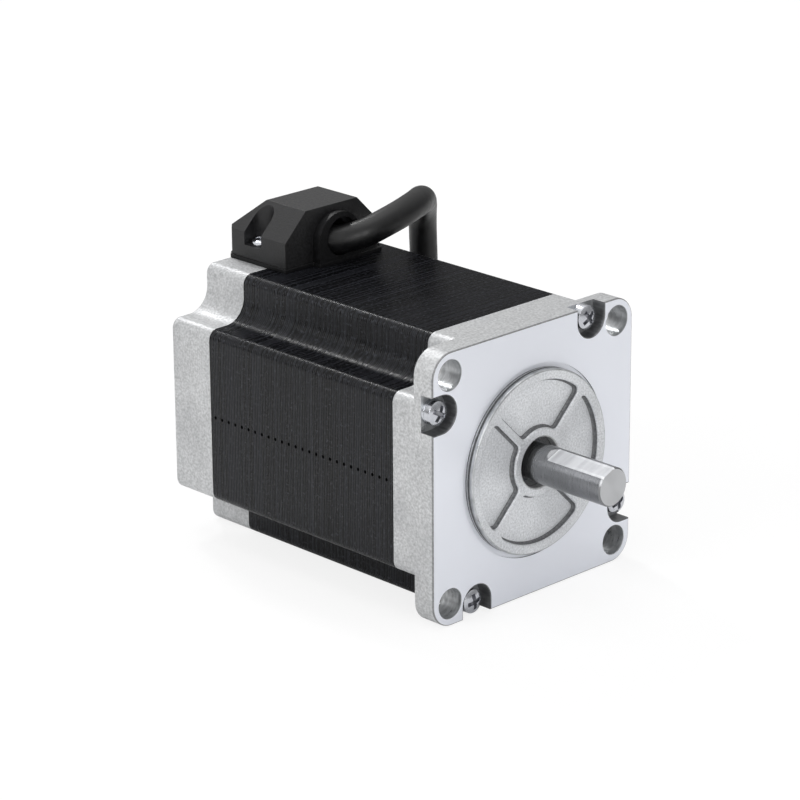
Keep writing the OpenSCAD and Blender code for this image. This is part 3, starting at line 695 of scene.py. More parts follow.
@dataclass(frozen=True)
class TurnedMetal(Finish):
    """Turned or ground metal: fine rings round the axis, which spread the highlight across
    themselves, along a shaft and outwards on a face."""

    ring_mm: float = 0.25
    anisotropic: float = 0.6
    rotation: float = 0.25

    def dress(self, tree: Tree, shader: bpy.types.Node, vector: Socket, coords: Socket) -> None:
        """Rings along X in roughness and bump; the tangent runs round X, a quarter turned.

        Args:
            tree: The material's tree.
            shader: Its shader.
            vector: The object's coordinates, drawn out.
            coords: The object's coordinates.
        """
        rings = grain_along(tree, split(tree, coords)["X"], 1 / (self.ring_mm * MM))
        shader.inputs["Anisotropic"].default_value = self.anisotropic
        shader.inputs["Anisotropic Rotation"].default_value = self.rotation
        turn = add_node(tree, "ShaderNodeTangent", {"direction_type": "RADIAL", "axis": "X"})
        tree.links.new(turn.outputs["Tangent"], shader.inputs["Tangent"])
        colour = blend(tree, rings, self.tone, self.tone_b)
        self.coat(tree, shader, colour, rings, WIDE, rings)


# Die-cast and tumbled aluminium: a pale satin skin that breaks the light up into fine specks.
# The real grain is near 0.1 mm, half a pixel, so it is drawn at 0.24 mm.
CAST = CastAluminium("die_cast_aluminium", "#ACADAE", "#D3D4D5", 0.5, 0.5, grain_mm=0.24,
                     bump_mm=0.05)
# The same skin on the boss, blasted after casting: paler and finer.
BOSS = CastAluminium("blasted_cast_boss", "#C6C8CB", "#EAECEF", 0.47, 0.5, grain_mm=0.2,
                     bump_mm=0.05)
# The steep drafted walls of the pockets face away from the lamps; their dark tone is painted
# shade, so that they read as dark lines.
WALL_SHADE = Finish("drafted_cast_wall_painted_shade", "#5C5D5F", "#7B7C7E", 0.5, 0.4, grain_mm=0.25, bump_mm=0.02)
# The mounting face, turned on a lathe: pale and faintly blue. Its rings are too fine to see,
# but they gather the light into two faint fans, at ten and at four o'clock.
FACED = TurnedMetal("turned_aluminium_face", "#E9ECF3", "#EDEFF6", 0.42, 0.55, bump_mm=0.0,
                    rough_swing=0.0, anisotropic=0.75)
# Walls left by an end mill, with marks drawn out along the cut. Their tone, darker than the
# face, is painted shade; it also darkens the flange's slots, the groove round the boss and
# two lines on its rim.
CUT_SHADE = Finish("milled_counterbore_wall_painted_shade", "#5E5F61", "#777879", 0.4, 0.7, stretch=(0.2, 1, 1))
# Drilled walls: bright, with rings of about 0.35 mm that the drill leaves.
BORE = Finish("drilled_hole_wall", "#A2A4A6", "#C6C8CA", 0.34, 0.75, grain_mm=0.35,
              bump_mm=0.015, stretch=(1, 0.3, 0.3))
# Blackened sheets of 0.5 mm pressed together: near black, ribbed, and bright only on its edges.
LAMINATIONS = LaminationStack("blackened_lamination_stack", "#08080A", "#202125", 0.28,
                              bump_mm=0.035, rough_swing=0.07, specular=0.19)
# Glass-filled plastic from an eroded mould: a matt black that greys where light grazes it.
# The mould's texture is 0.05 to 0.1 mm and is drawn at 0.22 mm.
COVER = Finish("textured_black_plastic", "#0A0A0B", "#19191B", 0.5, grain_mm=0.22, bump_mm=0.04)
# Moulded rubber: the deepest black here, with no grain to see and a dull edge.
RUBBER = Finish("moulded_black_rubber", "#0B0B0C", "#121214", 0.5, grain_mm=0.4, bump_mm=0.006,
                specular=0.25)
# Extruded jacket: smooth black with one long soft highlight along the cable.
JACKET = Finish("extruded_black_jacket", "#0C0C0D", "#111112", 0.4, grain_mm=0.8, bump_mm=0.006,
                specular=0.35)
# Shrunk tube: glossier than the jacket, with waves of about a millimetre from the heat.
SLEEVE = Finish("shrunk_black_sleeve", "#101011", "#1B1B1D", 0.34, grain_mm=1.2, bump_mm=0.02)
# Zinc-plated screws and washers: bright, with the lamps sharp on the domes.
ZINC = Finish("bright_zinc_steel", "#C2C4CA", "#D5D7DC", 0.2, 1.0, grain_mm=0.8, bump_mm=0.002,
              rough_swing=0.03)
# The punched cross: a duller grey than the dome round it, painted shade in the recess.
RECESS_SHADE = Finish("punched_cross_recess_shade", "#85868B", "#9FA0A5", 0.35, 0.9)
# Centreless-ground shaft: fine rings of about 0.25 mm draw the highlight out along the axis.
SHAFT = TurnedMetal("ground_shaft_steel", "#828385", "#909193", 0.3, 1.0, bump_mm=0.0002,
                    rough_swing=0.04)
# The milled flat: a pale even strip, with faint marks across the shaft. Its tone, paler than
# the shaft's steel, is a painted highlight.
FLAT_HIGHLIGHT = Finish("milled_shaft_flat_highlight", "#D6D7D9", "#E2E3E5", 0.42, 0.75, grain_mm=0.5, bump_mm=0.001,
              stretch=(1, 0.15, 0.15))
# The turned end of the shaft: pale, with rings too fine to see.
END = TurnedMetal("turned_shaft_end", "#B4B5B7", "#CBCCCE", 0.3, 1.0, bump_mm=0.0,
                  anisotropic=0.9)
# Tinned strands: dull silver, with the strands' lay just to be seen.
TIN = Finish("tinned_copper_tip", "#B9BBBD", "#D5D6D8", 0.3, 1.0, bump_mm=0.03,
             stretch=(1, 0.2, 1))


def insulation(name: str, tone: str, tone_b: str) -> Finish:
    """The smooth extruded insulation of a lead: one even colour with a soft highlight."""
    return Finish(name, tone, tone_b, 0.38, grain_mm=0.6, bump_mm=0.004)


# The finish of every record slot. Those that the picture doesn't show are named and toned for
# what the real part is, each with a fine grain near its real size.
FINISHES = {
    "cover_casting": CAST,
    "lamination_stack": LAMINATIONS,
    "insulator_nylon": Finish("moulded_white_nylon", "#DDD6C2", "#E6E0CF", 0.45, grain_mm=0.6),
    "winding_copper": Finish("enamelled_copper_turns", "#8A4A22", "#B5692F", 0.3, 0.6,
                             grain_mm=0.25, bump_mm=0.06, stretch=(0.1, 1, 1)),
    "board_laminate": Finish("green_board_laminate", "#1E4D33", "#26603F", 0.35, grain_mm=0.4),
    "zinc_steel": ZINC,
    "shaft_steel": SHAFT,
    "rotor_steel": Finish("punched_rotor_steel", "#77797C", "#94969A", 0.35, 0.9, grain_mm=0.4,
                          stretch=(1, 0.1, 0.1)),
    "magnet": Finish("sintered_magnet", "#4B4D50", "#5E6064", 0.4, 0.7, bump_mm=0.02),
    "bearing_steel": Finish("ground_bearing_steel", "#B9BBBE", "#CDCFD2", 0.2, 1.0,
                            bump_mm=0.002, stretch=(1, 0.1, 0.1)),
    "cage_steel": Finish("pressed_cage_steel", "#A99257", "#BCA56A", 0.32, 0.9, grain_mm=0.4),
    "seal_rubber": Finish("moulded_seal_rubber", "#1D1A19", "#292524", 0.55),
    "spring_steel": Finish("rolled_spring_steel", "#8C8F94", "#A4A7AC", 0.3, 0.95, grain_mm=0.4,
                           stretch=(1, 0.1, 1)),
    "cover_plastic": COVER,
    "gasket_rubber": RUBBER,
    "tie_nylon": Finish("moulded_tie_nylon", "#D8D6D0", "#E4E2DC", 0.4, grain_mm=0.5),
    "cable_jacket": JACKET,
    "sleeve": SLEEVE,
    "lead_black": insulation("lead_insulation_black", "#161617", "#1E1E20"),
    "lead_green": insulation("lead_insulation_green", "#1E7A3E", "#258A48"),
    "lead_red": insulation("lead_insulation_red", "#B3201F", "#C42A26"),
    "lead_blue": insulation("lead_insulation_blue", "#1F4FA3", "#2759B3"),
    "tinned_copper": TIN,
}


class Workshop:
    """Makes each finish once, dresses pieces with them and reports each piece."""

    def __init__(self) -> None:
        """Starts with no material made."""
        self.made: dict = {}

    def material(self, finish: Finish) -> bpy.types.Material:
        """The material of a finish, made on first use.

        Args:
            finish: The finish.

        Returns:
            Its material.
        """
        if finish.name not in self.made:
            self.made[finish.name] = finish.build()
        return self.made[finish.name]

    def fit(self, piece: Piece, slot: str, replaced: str, *finishes: Finish,
            body: Body = Body.HOUSING) -> Piece:
        """Dresses a piece, sets the body that it rides on and hides the node that it stands for.

        Args:
            piece: The piece.
            slot: Its slot in the record; not used.
            replaced: The node that it replaces.
            *finishes: Its finishes, in the order of its skins.
            body: The body that it rides on.

        Returns:
            The piece.
        """
        for finish in finishes:
            piece.data.materials.append(self.material(finish))
        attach(piece, body.value)
        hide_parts(replaced)
        LOG.info("%s: %d faces, on %s", piece.name, len(piece.data.polygons), body.value)
        return piece

    def dress_nodes(self) -> None:
        """Gives every carried-over CAD node the finish of its record slot."""
        for row in frame["record"]["subparts"]:
            mesh = frame["nodes"][row["node"]].data
            material = self.material(FINISHES[row["material_slot"]])
            if not mesh.materials:
                mesh.materials.append(material)
            for i in range(len(mesh.materials)):
                mesh.materials[i] = material


# The cable's middle line: out of the gland, over and down behind the motor, and round on the
# floor to the sleeve. The same points are in the CAD part.
CABLE_ROUTE = [
    [-64.4, -1.1, 33.2], [-60.4, -0.2, 33.1], [-56.8, 2, 33.2], [-53.8, 5.7, 34.4],
    [-52.7, 10.4, 35.8], [-52.6, 15.2, 36.9], [-53.7, 20, 37.5], [-56.2, 24.3, 37.1],
    [-59.2, 27.7, 35], [-61.9, 30.3, 31.8], [-63.5, 31.9, 27.4], [-63.9, 32.5, 22],
    [-63.9, 32.7, 14], [-63.9, 32.8, 5], [-63.9, 32.9, -4], [-63.5, 33, -12],
    [-62, 33.2, -17.2], [-58.9, 33.5, -21.5], [-54.5, 34, -24.3], [-49.5, 34.6, -25.2],
    [-43.4, 36.2, -25.2], [-39, 40.6, -25.2], [-37.2, 46.8, -25.2], [-38.8, 53, -25.2],
    [-43.2, 57.6, -25.2], [-49.4, 59.8, -25.2], [-58, 60.2, -25.2], [-67, 60.2, -25.2],
    [-76, 60.2, -25.2], [-85, 60.2, -25.2], [-92.6, 59.6, -25.2], [-99, 57.2, -25.2],
    [-103.6, 52.6, -25.2], [-105.6, 46.2, -25.2], [-105.8, 38, -25.2], [-105.8, 30, -25.2],
    [-105.8, 23, -25.1], [-105.3, 16.6, -25], [-102.8, 10.8, -24.9], [-98.2, 6.2, -24.8],
    [-92.2, 4, -24.7], [-86, 5.4, -24.7], [-81.8, 10, -24.7], [-80.6, 16.2, -24.7],
    [-80.6, 21.4, -24.7]]
# The four leads, fanned out from the sleeve to the floor.
LEADS = {
    "black": [[-81.45, 21.6, -23.85], [-81.6, 25.4, -23.9], [-82.1, 29.4, -24.3],
              [-83.9, 34.4, -25.8], [-86.2, 39.2, -27.2], [-88.8, 43.8, -27.4],
              [-91.6, 47.8, -27.4]],
    "green": [[-81.45, 21.6, -25.55], [-81.5, 25.4, -25.6], [-81.7, 29.4, -25.9],
              [-82.5, 34.4, -27], [-83.6, 39.4, -27.4], [-85, 44.8, -27.4],
              [-86.7, 50, -27.4]],
    "red": [[-79.75, 21.6, -23.85], [-79.7, 25.4, -23.9], [-79.6, 29.4, -24.2],
            [-79.3, 34.4, -25.8], [-78.7, 39.4, -27.2], [-77.6, 44.8, -27.4],
            [-76, 50, -27.4]],
    "blue": [[-79.75, 21.6, -25.55], [-79.6, 25.4, -25.6], [-79.2, 29.4, -25.9],
             [-77.7, 34, -27], [-75.2, 38.4, -27.4], [-72.2, 42.6, -27.4],
             [-69, 46.4, -27.4]]}


@dataclass
class Cable:
    """The free cable: jacket, shrink sleeve, four leads and their tinned tips."""

    radius: float = 3.0
    lead_r: float = 0.8
    tip_r: float = 0.48
    tip_l: float = 6.0
    sleeve_grip: float = 4.5
    sleeve_past: float = 7.5

    def build(self, shop: Workshop) -> None:
        """Args:
            shop: Makes the finishes and dresses the pieces.
        """
        route = np.array(CABLE_ROUTE, float)
        path = smooth_route(route)
        jacket = tube("cable_jacket_tube", path, np.full(len(path), self.radius))
        shop.fit(jacket, "cable_jacket", "cable", JACKET)
        on_it = [self.sleeve(shop, route)]
        for number, (tone, points) in enumerate(LEADS.items(), 1):
            on_it += self.lead(shop, number, tone, np.array(points, float))

    def sleeve(self, shop: Workshop, route: np.ndarray) -> Piece:
        """The shrink sleeve: a tube over the jacket's end, drawn in towards the leads.

        Its profile runs along the outside, in at the mouth and back to a floor inside.

        Args:
            shop: Makes the finishes and dresses the pieces.
            route: The cable's middle line.

        Returns:
            The sleeve.
        """
        grip, past = -self.sleeve_grip, self.sleeve_past
        x, r = np.array([(grip, 3.05), (grip, 3.42), (-4.2, 3.5), (0.0, 3.5), (0.6, 3.46),
                         (3.0, 3.3), (6.9, 3.26), (past, 3.14), (past, 2.4), (past, 2.4),
                         (6.0, 2.3), (6.0, 0.0)]).T[:, :, None, None]
        way = route[-1] - route[-2]
        way /= np.linalg.norm(way)
        side = np.cross(way, (0, 0, 1.0))
        side /= np.linalg.norm(side)
        a = np.linspace(0, TURN, 48, endpoint=False)[None, :, None]
        ring = np.cos(a) * side + np.sin(a) * np.cross(way, side)
        back = np.broadcast_to(route[-1] + way * grip, (1, 48, 3))
        surface = Surface()
        surface.grid(np.concatenate([back, route[-1] + way * x + ring * r]))
        return shop.fit(surface.make("shrink_sleeve_tube", 50), "sleeve", "cable_sleeve", SLEEVE)

    def lead(self, shop: Workshop, number: int, tone: str, points: np.ndarray) -> list:
        """One flying lead and its tinned tip.

        Args:
            shop: Makes the finishes and dresses the pieces.
            number: Number of the lead's node.
            tone: The lead's colour.
            points: The lead's middle line.

        Returns:
            The lead and its tip.
        """
        path = smooth_route(points)
        name = f"lead_{tone}"
        wire = tube(name, path, np.full(len(path), self.lead_r), 20)
        shop.fit(wire, name, f"flying_lead_{number}", FINISHES[name])
        way = (points[-1] - points[-2]) / np.linalg.norm(points[-1] - points[-2])
        reach = np.array([-0.5, self.tip_l * 0.5, self.tip_l - 0.2, self.tip_l])[:, None]
        radii = self.tip_r * np.array([1.0, 1.0, 1.0, 0.6])
        tip = tube(f"lead_tip_{tone}", points[-1] + reach * way, radii, 16)
        return [wire, shop.fit(tip, "tinned_copper", "lead_tips", TIN)]


@dataclass(frozen=True)
class Outline:
    """The cross with round notches that the covers and the stack share."""

    half: float = 28.2
    flat_half: float = 18.58
    lobe_r: float = 2.14
    notch_r: float = 4.99
    hole_at: float = 23.57
    slot_low: float = 12.27
    slot_r: float = 3.83
    screw: tuple = (25.65, -16.1)

    def body(self) -> np.ndarray:
        """One side, lobe, notch and lobe, turned round four times.

        Returns:
            The closed loop.
        """
        at = self.half - self.lobe_r
        z = self.flat_half - self.lobe_r
        corner = np.vstack([
            [[self.half, -self.slot_low]],
            arc((at, z), self.lobe_r, 0, 90, 13),
            arc((self.hole_at, self.hole_at), self.notch_r, -90, -180, 19),
            arc((z, at), self.lobe_r, 0, 90, 13)])
        return np.vstack([quarter_turn(corner, k) for k in range(4)])

    def flange(self, corner_r: float, slotted: bool) -> tuple:
        """The square flange, with or without its four open slots, and the skin of each edge.

        Args:
            corner_r: Radius of the corners.
            slotted: Whether the slots are open.

        Returns:
            The closed loop and a list of skins.
        """
        at = self.half - corner_r
        edge = self.flat_half - self.lobe_r
        z = self.screw[1]
        mouth = np.array([[self.half, z - self.slot_r], [self.half, z + self.slot_r]])
        middle = arc(self.screw, self.slot_r, -90, -270, 33) if slotted else [[self.half, -edge]]
        slot = np.vstack([mouth[:1], middle, mouth[1:]])
        side = np.vstack([[[self.half, -at]], slot, [[self.half, edge]],
                          arc((at, at), corner_r, 0, 90, 17)[:-1]])
        skins = [Skin.CAST] * len(side)
        if slotted:
            # The slots' walls are darkened with painted shade.
            skins[1:len(slot)] = [Skin.CUT_SHADE] * (len(slot) - 1)
        return np.vstack([quarter_turn(side, k) for k in range(4)]), skins * 4

    def screw_holes(self, radius: float) -> list:
        """The four rings round the screws."""
        ring = circle(radius, self.screw, 32)[::-1]
        return [quarter_turn(ring, k) for k in range(4)]


@dataclass
class FrontCover:
    """The cast front cover: flange, boss with four pockets, bearing seat and hollow."""

    outline: Outline = Outline()
    corner_r: float = 5.0
    back_x: float = -11.1
    back_soft: float = 0.12
    back_soft_l: float = 0.15
    flange_x: float = -5.1
    slot_x: float = -3.2
    boss_x: float = 1.6
    boss_r: float = 19.05
    groove_r: float = 20.0
    groove_x: float = -0.3
    groove_shade: float = 0.25
    line_x: tuple = (0.75, 0.7, 0.3, 0.25)
    line_depth: float = 0.1
    pocket_x: float = 0.4
    pocket_r: float = 16.9
    pocket_foot: float = 0.42
    hub_r: float = 7.1
    rib_half: float = 0.8
    pocket_corner: float = 1.3
    shaft_hole_r: float = 5.2
    hole_r: float = 3.1
    hole_soft: float = 0.12
    hole_row_x: float = -1.0
    screw_hole_r: float = 1.35
    seat_r: float = 11.01
    seat_x: float = -3.0
    seat_wall_r: float = 13.2
    seat_end_x: float = -10.4
    hollow_r: float = 23.4
    hollow_x: float = -5.4
    rim: float = 0.22
    boss_soft: float = 0.36

    def pocket(self) -> np.ndarray:
        """The +Z pocket: outer arc, rounded corners, straight rib edges and hub arc.

        Each corner's centre stands a corner radius off the rib's edge and off the arc.

        Returns:
            The closed loop.
        """
        r = self.pocket_corner
        off = self.rib_half + r
        centres, angles = [], []
        for reach in (self.pocket_r - r, self.hub_r + r):
            along = math.sqrt(reach ** 2 - off ** 2)
            centres.append(((along - off) / math.sqrt(2), (along + off) / math.sqrt(2)))
            angles.append(math.degrees(math.atan2(along + off, along - off)))
        (oy, oz), (iy, iz) = centres
        a, b = angles
        return np.vstack([
            arc((0, 0), self.pocket_r, a, 180 - a, 41),
            arc((-oy, oz), r, 180 - a, 225, 9)[1:],
            arc((-iy, iz), r, 225, 360 - b, 9),
            arc((0, 0), self.hub_r, 180 - b, b, 21)[1:-1],
            arc((iy, iz), r, 180 + b, 315, 9),
            arc((oy, oz), r, -45, a, 9)[:-1]])

    def build(self, shop: Workshop) -> None:
        """Walls from carried profiles and flat caps between them, welded into one shell.

        Args:
            shop: Makes the finishes and dresses the pieces.
        """
        s = Surface()
        slotted, skins = self.outline.flange(self.corner_r, True)
        full, _ = self.outline.flange(self.corner_r, False)
        body = self.outline.body()
        at = self.outline.hole_at
        holes = [circle(self.hole_r, (y * at, z * at), 48)[::-1] for y in (-1, 1) for z in (-1, 1)]
        s.carry(slotted, rounded(0, -1, self.rim) + [(self.slot_x, 0)], skins)
        s.wall(full, self.slot_x, self.flange_x)
        s.carry(body, [(self.flange_x, 0), (self.back_x + self.back_soft_l, 0),
                       (self.back_x, self.back_soft)])
        for hole in holes:
            edge = rounded(0, -1, self.hole_soft, 2)
            s.carry(hole, edge + [(self.hole_row_x, 0), (self.flange_x, 0)], Skin.BORE)
        groove = circle(self.groove_r, count=160)
        s.cap(0, [slotted + self.rim * inward(slotted), groove[::-1]]
              + [h + self.hole_soft * inward(h) for h in holes], Skin.FACED)
        # The groove's outer wall is darkened with painted shade.
        s.wall(groove[::-1], 0, self.groove_x, Skin.CUT_SHADE)
        self.boss(s, groove)
        self.slots(s)
        self.ears(s, full, body, holes)
        self.inside(s, body)
        shop.fit(s.make("front_cover_casting"), "cover_casting", "front_cover",
                 CAST, FACED, CUT_SHADE, BORE, BOSS, WALL_SHADE)

    def boss(self, s: Surface, groove: np.ndarray) -> None:
        """The boss: its turned rim with a fine line cut round it, its front with the pockets,
        soft at every edge, and the shaft hole.

        Args:
            s: The surface that the faces go into.
            groove: The outer ring of the groove round the boss.
        """
        soft = self.boss_soft
        boss = circle(self.boss_r, count=160)
        s.cap(self.groove_x, [groove, boss[::-1]], Skin.FACED)
        line = list(zip(self.line_x, (0, self.line_depth, self.line_depth, 0)))
        s.carry(boss, rounded(self.boss_x, -1, soft) + line[:1], Skin.BORE)
        # The fine line and the rim's foot by the groove are darkened with painted shade.
        s.carry(boss, line, Skin.CUT_SHADE)
        shade = self.groove_x + self.groove_shade
        s.wall(boss, self.line_x[-1], shade, Skin.BORE)
        s.wall(boss, shade, self.groove_x, Skin.CUT_SHADE)
        hole = circle(self.shaft_hole_r)[::-1]
        pockets = [quarter_turn(self.pocket(), k)[::-1] for k in range(4)]
        s.cap(self.boss_x, [ring + soft * inward(ring) for ring in [boss, hole] + pockets],
              Skin.BOSS)
        s.carry(hole, rounded(self.boss_x, -1, soft) + [(self.seat_x, 0)])
        floor, low = self.pocket_x, self.pocket_foot
        foot = [(floor + inset, floor - x) for x, inset in rounded(floor, 1, low)]
        for p in pockets:
            s.carry(p, rounded(self.boss_x, -1, soft), Skin.BOSS)
            # The pockets' walls are darkened with painted shade.
            s.wall(p, self.boss_x - soft, floor + low, Skin.WALL_SHADE)
            s.carry(p, foot, Skin.WALL_SHADE)
            s.cap(floor, [(p - low * inward(p))[::-1]], Skin.BOSS)

    def slots(self, s: Surface) -> None:
        """The floor of each counterbore, out to the flange's side, with its screw hole.

        Args:
            s: The surface that the faces go into.
        """
        o = self.outline
        z = o.screw[1]
        floor = np.vstack([[[o.half, z - o.slot_r], [o.half, -o.flat_half + o.lobe_r],
                            [o.half, z + o.slot_r]], arc(o.screw, o.slot_r, 90, 270, 33)])
        for k, hole in enumerate(o.screw_holes(self.screw_hole_r)):
            s.cap(self.slot_x, [quarter_turn(floor, k), hole], Skin.BORE)
            s.wall(hole, self.slot_x, self.back_x)

    def ears(self, s: Surface, full: np.ndarray, body: np.ndarray, holes: list) -> None:
        """The back of each flange corner, between the flange's and the body's outlines.

        Args:
            s: The surface that the faces go into.
            full: The flange's outline.
            body: The body's outline.
            holes: The four mounting holes.
        """
        o = self.outline
        edge = o.flat_half - o.lobe_r
        for k in range(4):
            ends = quarter_turn(np.array([[o.half, edge], [edge, o.half]]), k)
            i, j = (int(np.argmin(np.linalg.norm(full - e, axis=1))) for e in ends)
            m, n = (int(np.argmin(np.linalg.norm(body - e, axis=1))) for e in ends)
            outer = np.roll(full, -i, 0)[:(j - i) % len(full) + 1]
            inner = np.roll(body, -m, 0)[:(n - m) % len(body) + 1][::-1]
            middle = ends.mean(0)
            hole = min(holes, key=lambda h: float(np.linalg.norm(h.mean(0) - middle)))
            s.cap(self.flange_x, [np.vstack([outer, inner[1:-1]]), hole])

    def inside(self, s: Surface, body: np.ndarray) -> None:
        """The rear face, the hollow round the bearing seat, and the seat.

        Args:
            s: The surface that the faces go into.
            body: The body's outline.
        """
        hollow, wall, seat, shaft = (circle(r) for r in (self.hollow_r, self.seat_wall_r,
                                                         self.seat_r, self.shaft_hole_r))
        s.cap(self.back_x, [body + self.back_soft * inward(body), hollow[::-1]]
              + self.outline.screw_holes(self.screw_hole_r))
        s.wall(hollow[::-1], self.back_x, self.hollow_x)
        s.cap(self.hollow_x, [hollow, wall[::-1]])
        s.wall(wall, self.hollow_x, self.seat_end_x)
        s.cap(self.seat_end_x, [wall, seat[::-1]])
        s.wall(seat[::-1], self.seat_end_x, self.seat_x)
        s.cap(self.seat_x, [seat, shaft[::-1]])


@dataclass
class Housing:
    """The stack, the rear cover, the washers and the moulded parts of the terminal box."""

    rear_edge: float = 0.6
    rear_far: float = 18.0
    washer_edge: float = 0.06
    cover_edge: float = 0.28
    gland_edge: float = 0.3
    gasket_edge: float = 0.18

    def build(self, shop: Workshop) -> None:
        """Copies of the CAD nodes with the edges that casting and moulding leave.

        Args:
            shop: Makes the finishes and dresses the pieces.
        """
        shop.fit(cad_copy("stator_core", "stator_sheet_stack", 0), "lamination_stack",
                 "stator_core", LAMINATIONS)
        rear = cad_copy("rear_cover", "rear_cover_casting", 0)
        self.round_rear(rear)
        shop.fit(rear, "cover_casting", "rear_cover", CAST)
        shop.fit(cad_copy("lock_washers", "split_washers", self.washer_edge, 30, 2), "zinc_steel",
                 "lock_washers", ZINC)
        for node, name, edge, slot, finish in (
                ("terminal_cover", "terminal_cover_shell", self.cover_edge, "cover_plastic", COVER),
                ("cable_gland", "cable_gland_boot", self.gland_edge, "gasket_rubber", RUBBER),
                ("terminal_gasket", "terminal_gasket_sheet", self.gasket_edge, "gasket_rubber",
                 RUBBER)):
            shop.fit(cad_copy(node, name, edge), slot, node, finish)

    def round_rear(self, piece: Piece) -> None:
        """Weights the rear face's outer edges so that only they are rounded.

        Args:
            piece: The rear cover.
        """
        mesh = piece.data
        co = vertices_of(mesh)
        pair = np.empty(len(mesh.edges) * 2, np.int32)
        mesh.edges.foreach_get("vertices", pair)
        ends = co[pair.reshape(-1, 2)]
        on_back = np.all(ends[:, :, 0] < co[:, 0].min() + 1e-6, 1)
        far = np.abs(ends[:, :, 1:]).max(2).min(1) > self.rear_far * MM
        weights = mesh.attributes.new("bevel_weight_edge", "FLOAT", "EDGE")
        weights.data.foreach_set("value", (on_back & far).astype(np.float32))
        bevel = soften(piece, "rounded_back", self.rear_edge, 4, "WEIGHT")
        bevel.use_clamp_overlap = False


@dataclass(frozen=True)
class Screw:
    """A domed screw with a cross recess.

    The dome begins at a share of the head's radius, crown; each arm of the cross gets shallower
    by a share of its depth towards its end; recess_from is the depth from which the cross is
    darkened with painted shade.
    """

    head_r: float
    head_h: float
    shank_r: float
    shank_l: float
    arm: float
    arm_half: float
    depth: float
    crown: float = 0.965
    shallower: float = 0.55
    arm_soft: float = 0.08
    arm_end: float = 0.12
    recess_from: float = 0.15
    around: int = 192
    rings: int = 72

    def surface(self, place: np.ndarray, up: np.ndarray, across: np.ndarray) -> tuple:
        """The screw as a polar grid of rows from the tip up the shank to the crown, and its skin.

        On the head the height is a dome, a circle of the head's diameter as radius, less a
        cross: each arm is a band whose edges fall off smoothly, deepest in the middle.

        Args:
            place: The middle of the head's underside.
            up: Way out of the head.
            across: Way of the cross's first arm.

        Returns:
            The grid's points and the skin of each quad.
        """
        a = np.linspace(0, TURN, self.around, endpoint=False)
        rho = np.linspace(1, 0, self.rings)[:, None] * self.head_r * self.crown
        dome_r = 2 * self.head_r
        height = self.head_h - dome_r + np.sqrt(dome_r ** 2 - rho ** 2) + 0 * a
        u, v = rho * np.cos(a), rho * np.sin(a)
        fall = 1 - self.shallower * np.clip(rho / self.arm, 0, 1)
        cut = np.maximum(self.band(u, v), self.band(v, u)) * self.depth * fall
        height = height - np.maximum(cut, 0)
        rim = float(height[0, 0])
        low = np.array([(0, -self.shank_l), (self.shank_r * 0.6, -self.shank_l),
                        (self.shank_r, -self.shank_l + 0.5), (self.shank_r, 0),
                        (self.head_r * 0.97, 0), (self.head_r, 0.08),
                        (self.head_r, rim - 0.16), (self.head_r * 0.993, rim - 0.05)])
        radius = np.concatenate([low[:, :1] + 0 * a, rho + 0 * a])
        level = np.concatenate([low[:, 1:] + 0 * a, height])
        outward = np.cos(a)[:, None] * across + np.sin(a)[:, None] * np.cross(up, across)
        points = place + level[..., None] * up + radius[..., None] * outward
        # Where the cross is deeper than recess_from, it is darkened with painted shade.
        recess = (cut > self.recess_from).astype(int)
        skin = np.concatenate([np.zeros((len(low), len(a)), int), recess])
        return points, skin[:-1]

    def band(self, along: np.ndarray, over: np.ndarray) -> np.ndarray:
        """One arm of the cross: one within its width and length, falling smoothly to zero.

        Args:
            along: Places along the arm.
            over: Places across it.

        Returns:
            How far each place is within the arm, from zero to one.
        """
        half = self.arm_half + self.arm_soft / 2
        width = np.clip((half - np.abs(over)) / self.arm_soft, 0, 1)
        length = np.clip((self.arm - np.abs(along)) / self.arm_end, 0, 1)
        both = width * length
        return both * both * (3 - 2 * both)


@dataclass
class Screws:
    """The four body screws and the two cover screws."""

    body: Screw = Screw(2.5, 2.1, 1.25, 67.9, 1.7, 0.4, 1.3)
    cover: Screw = Screw(2.15, 1.5, 1.25, 8.6, 1.4, 0.34, 1.0)
    seat_x: float = -2.6
    at: tuple = Outline.screw
    cover_at: tuple = ((-69.05, -9.15, 31.8), (-69.05, 11.65, 31.8))
    turns: tuple = (20.0, 38.0, 62.0, 11.0)

    def build(self, shop: Workshop) -> None:
        """Each screw stands at its own turn, as they are in a real motor.

        Args:
            shop: Makes the finishes and dresses the pieces.
        """
        s = Surface()
        for k, t in enumerate(math.radians(turn) for turn in self.turns):
            y, z = quarter_turn(np.array([self.at]), k)[0]
            s.grid(*self.body.surface(np.array([self.seat_x, y, z]), np.array([1.0, 0, 0]),
                                      np.array([0, math.cos(t), math.sin(t)])))
        shop.fit(s.make("body_screw_set", 42), "zinc_steel", "body_screws", ZINC, RECESS_SHADE)
        s = Surface()
        for place, turn in zip(self.cover_at, self.turns):
            t = math.radians(turn)
            s.grid(*self.cover.surface(np.array(place), np.array([0, 0, 1.0]),
                                       np.array([math.cos(t), math.sin(t), 0])))
        shop.fit(s.make("cover_screw_set", 42), "zinc_steel", "cover_screws", ZINC, RECESS_SHADE)


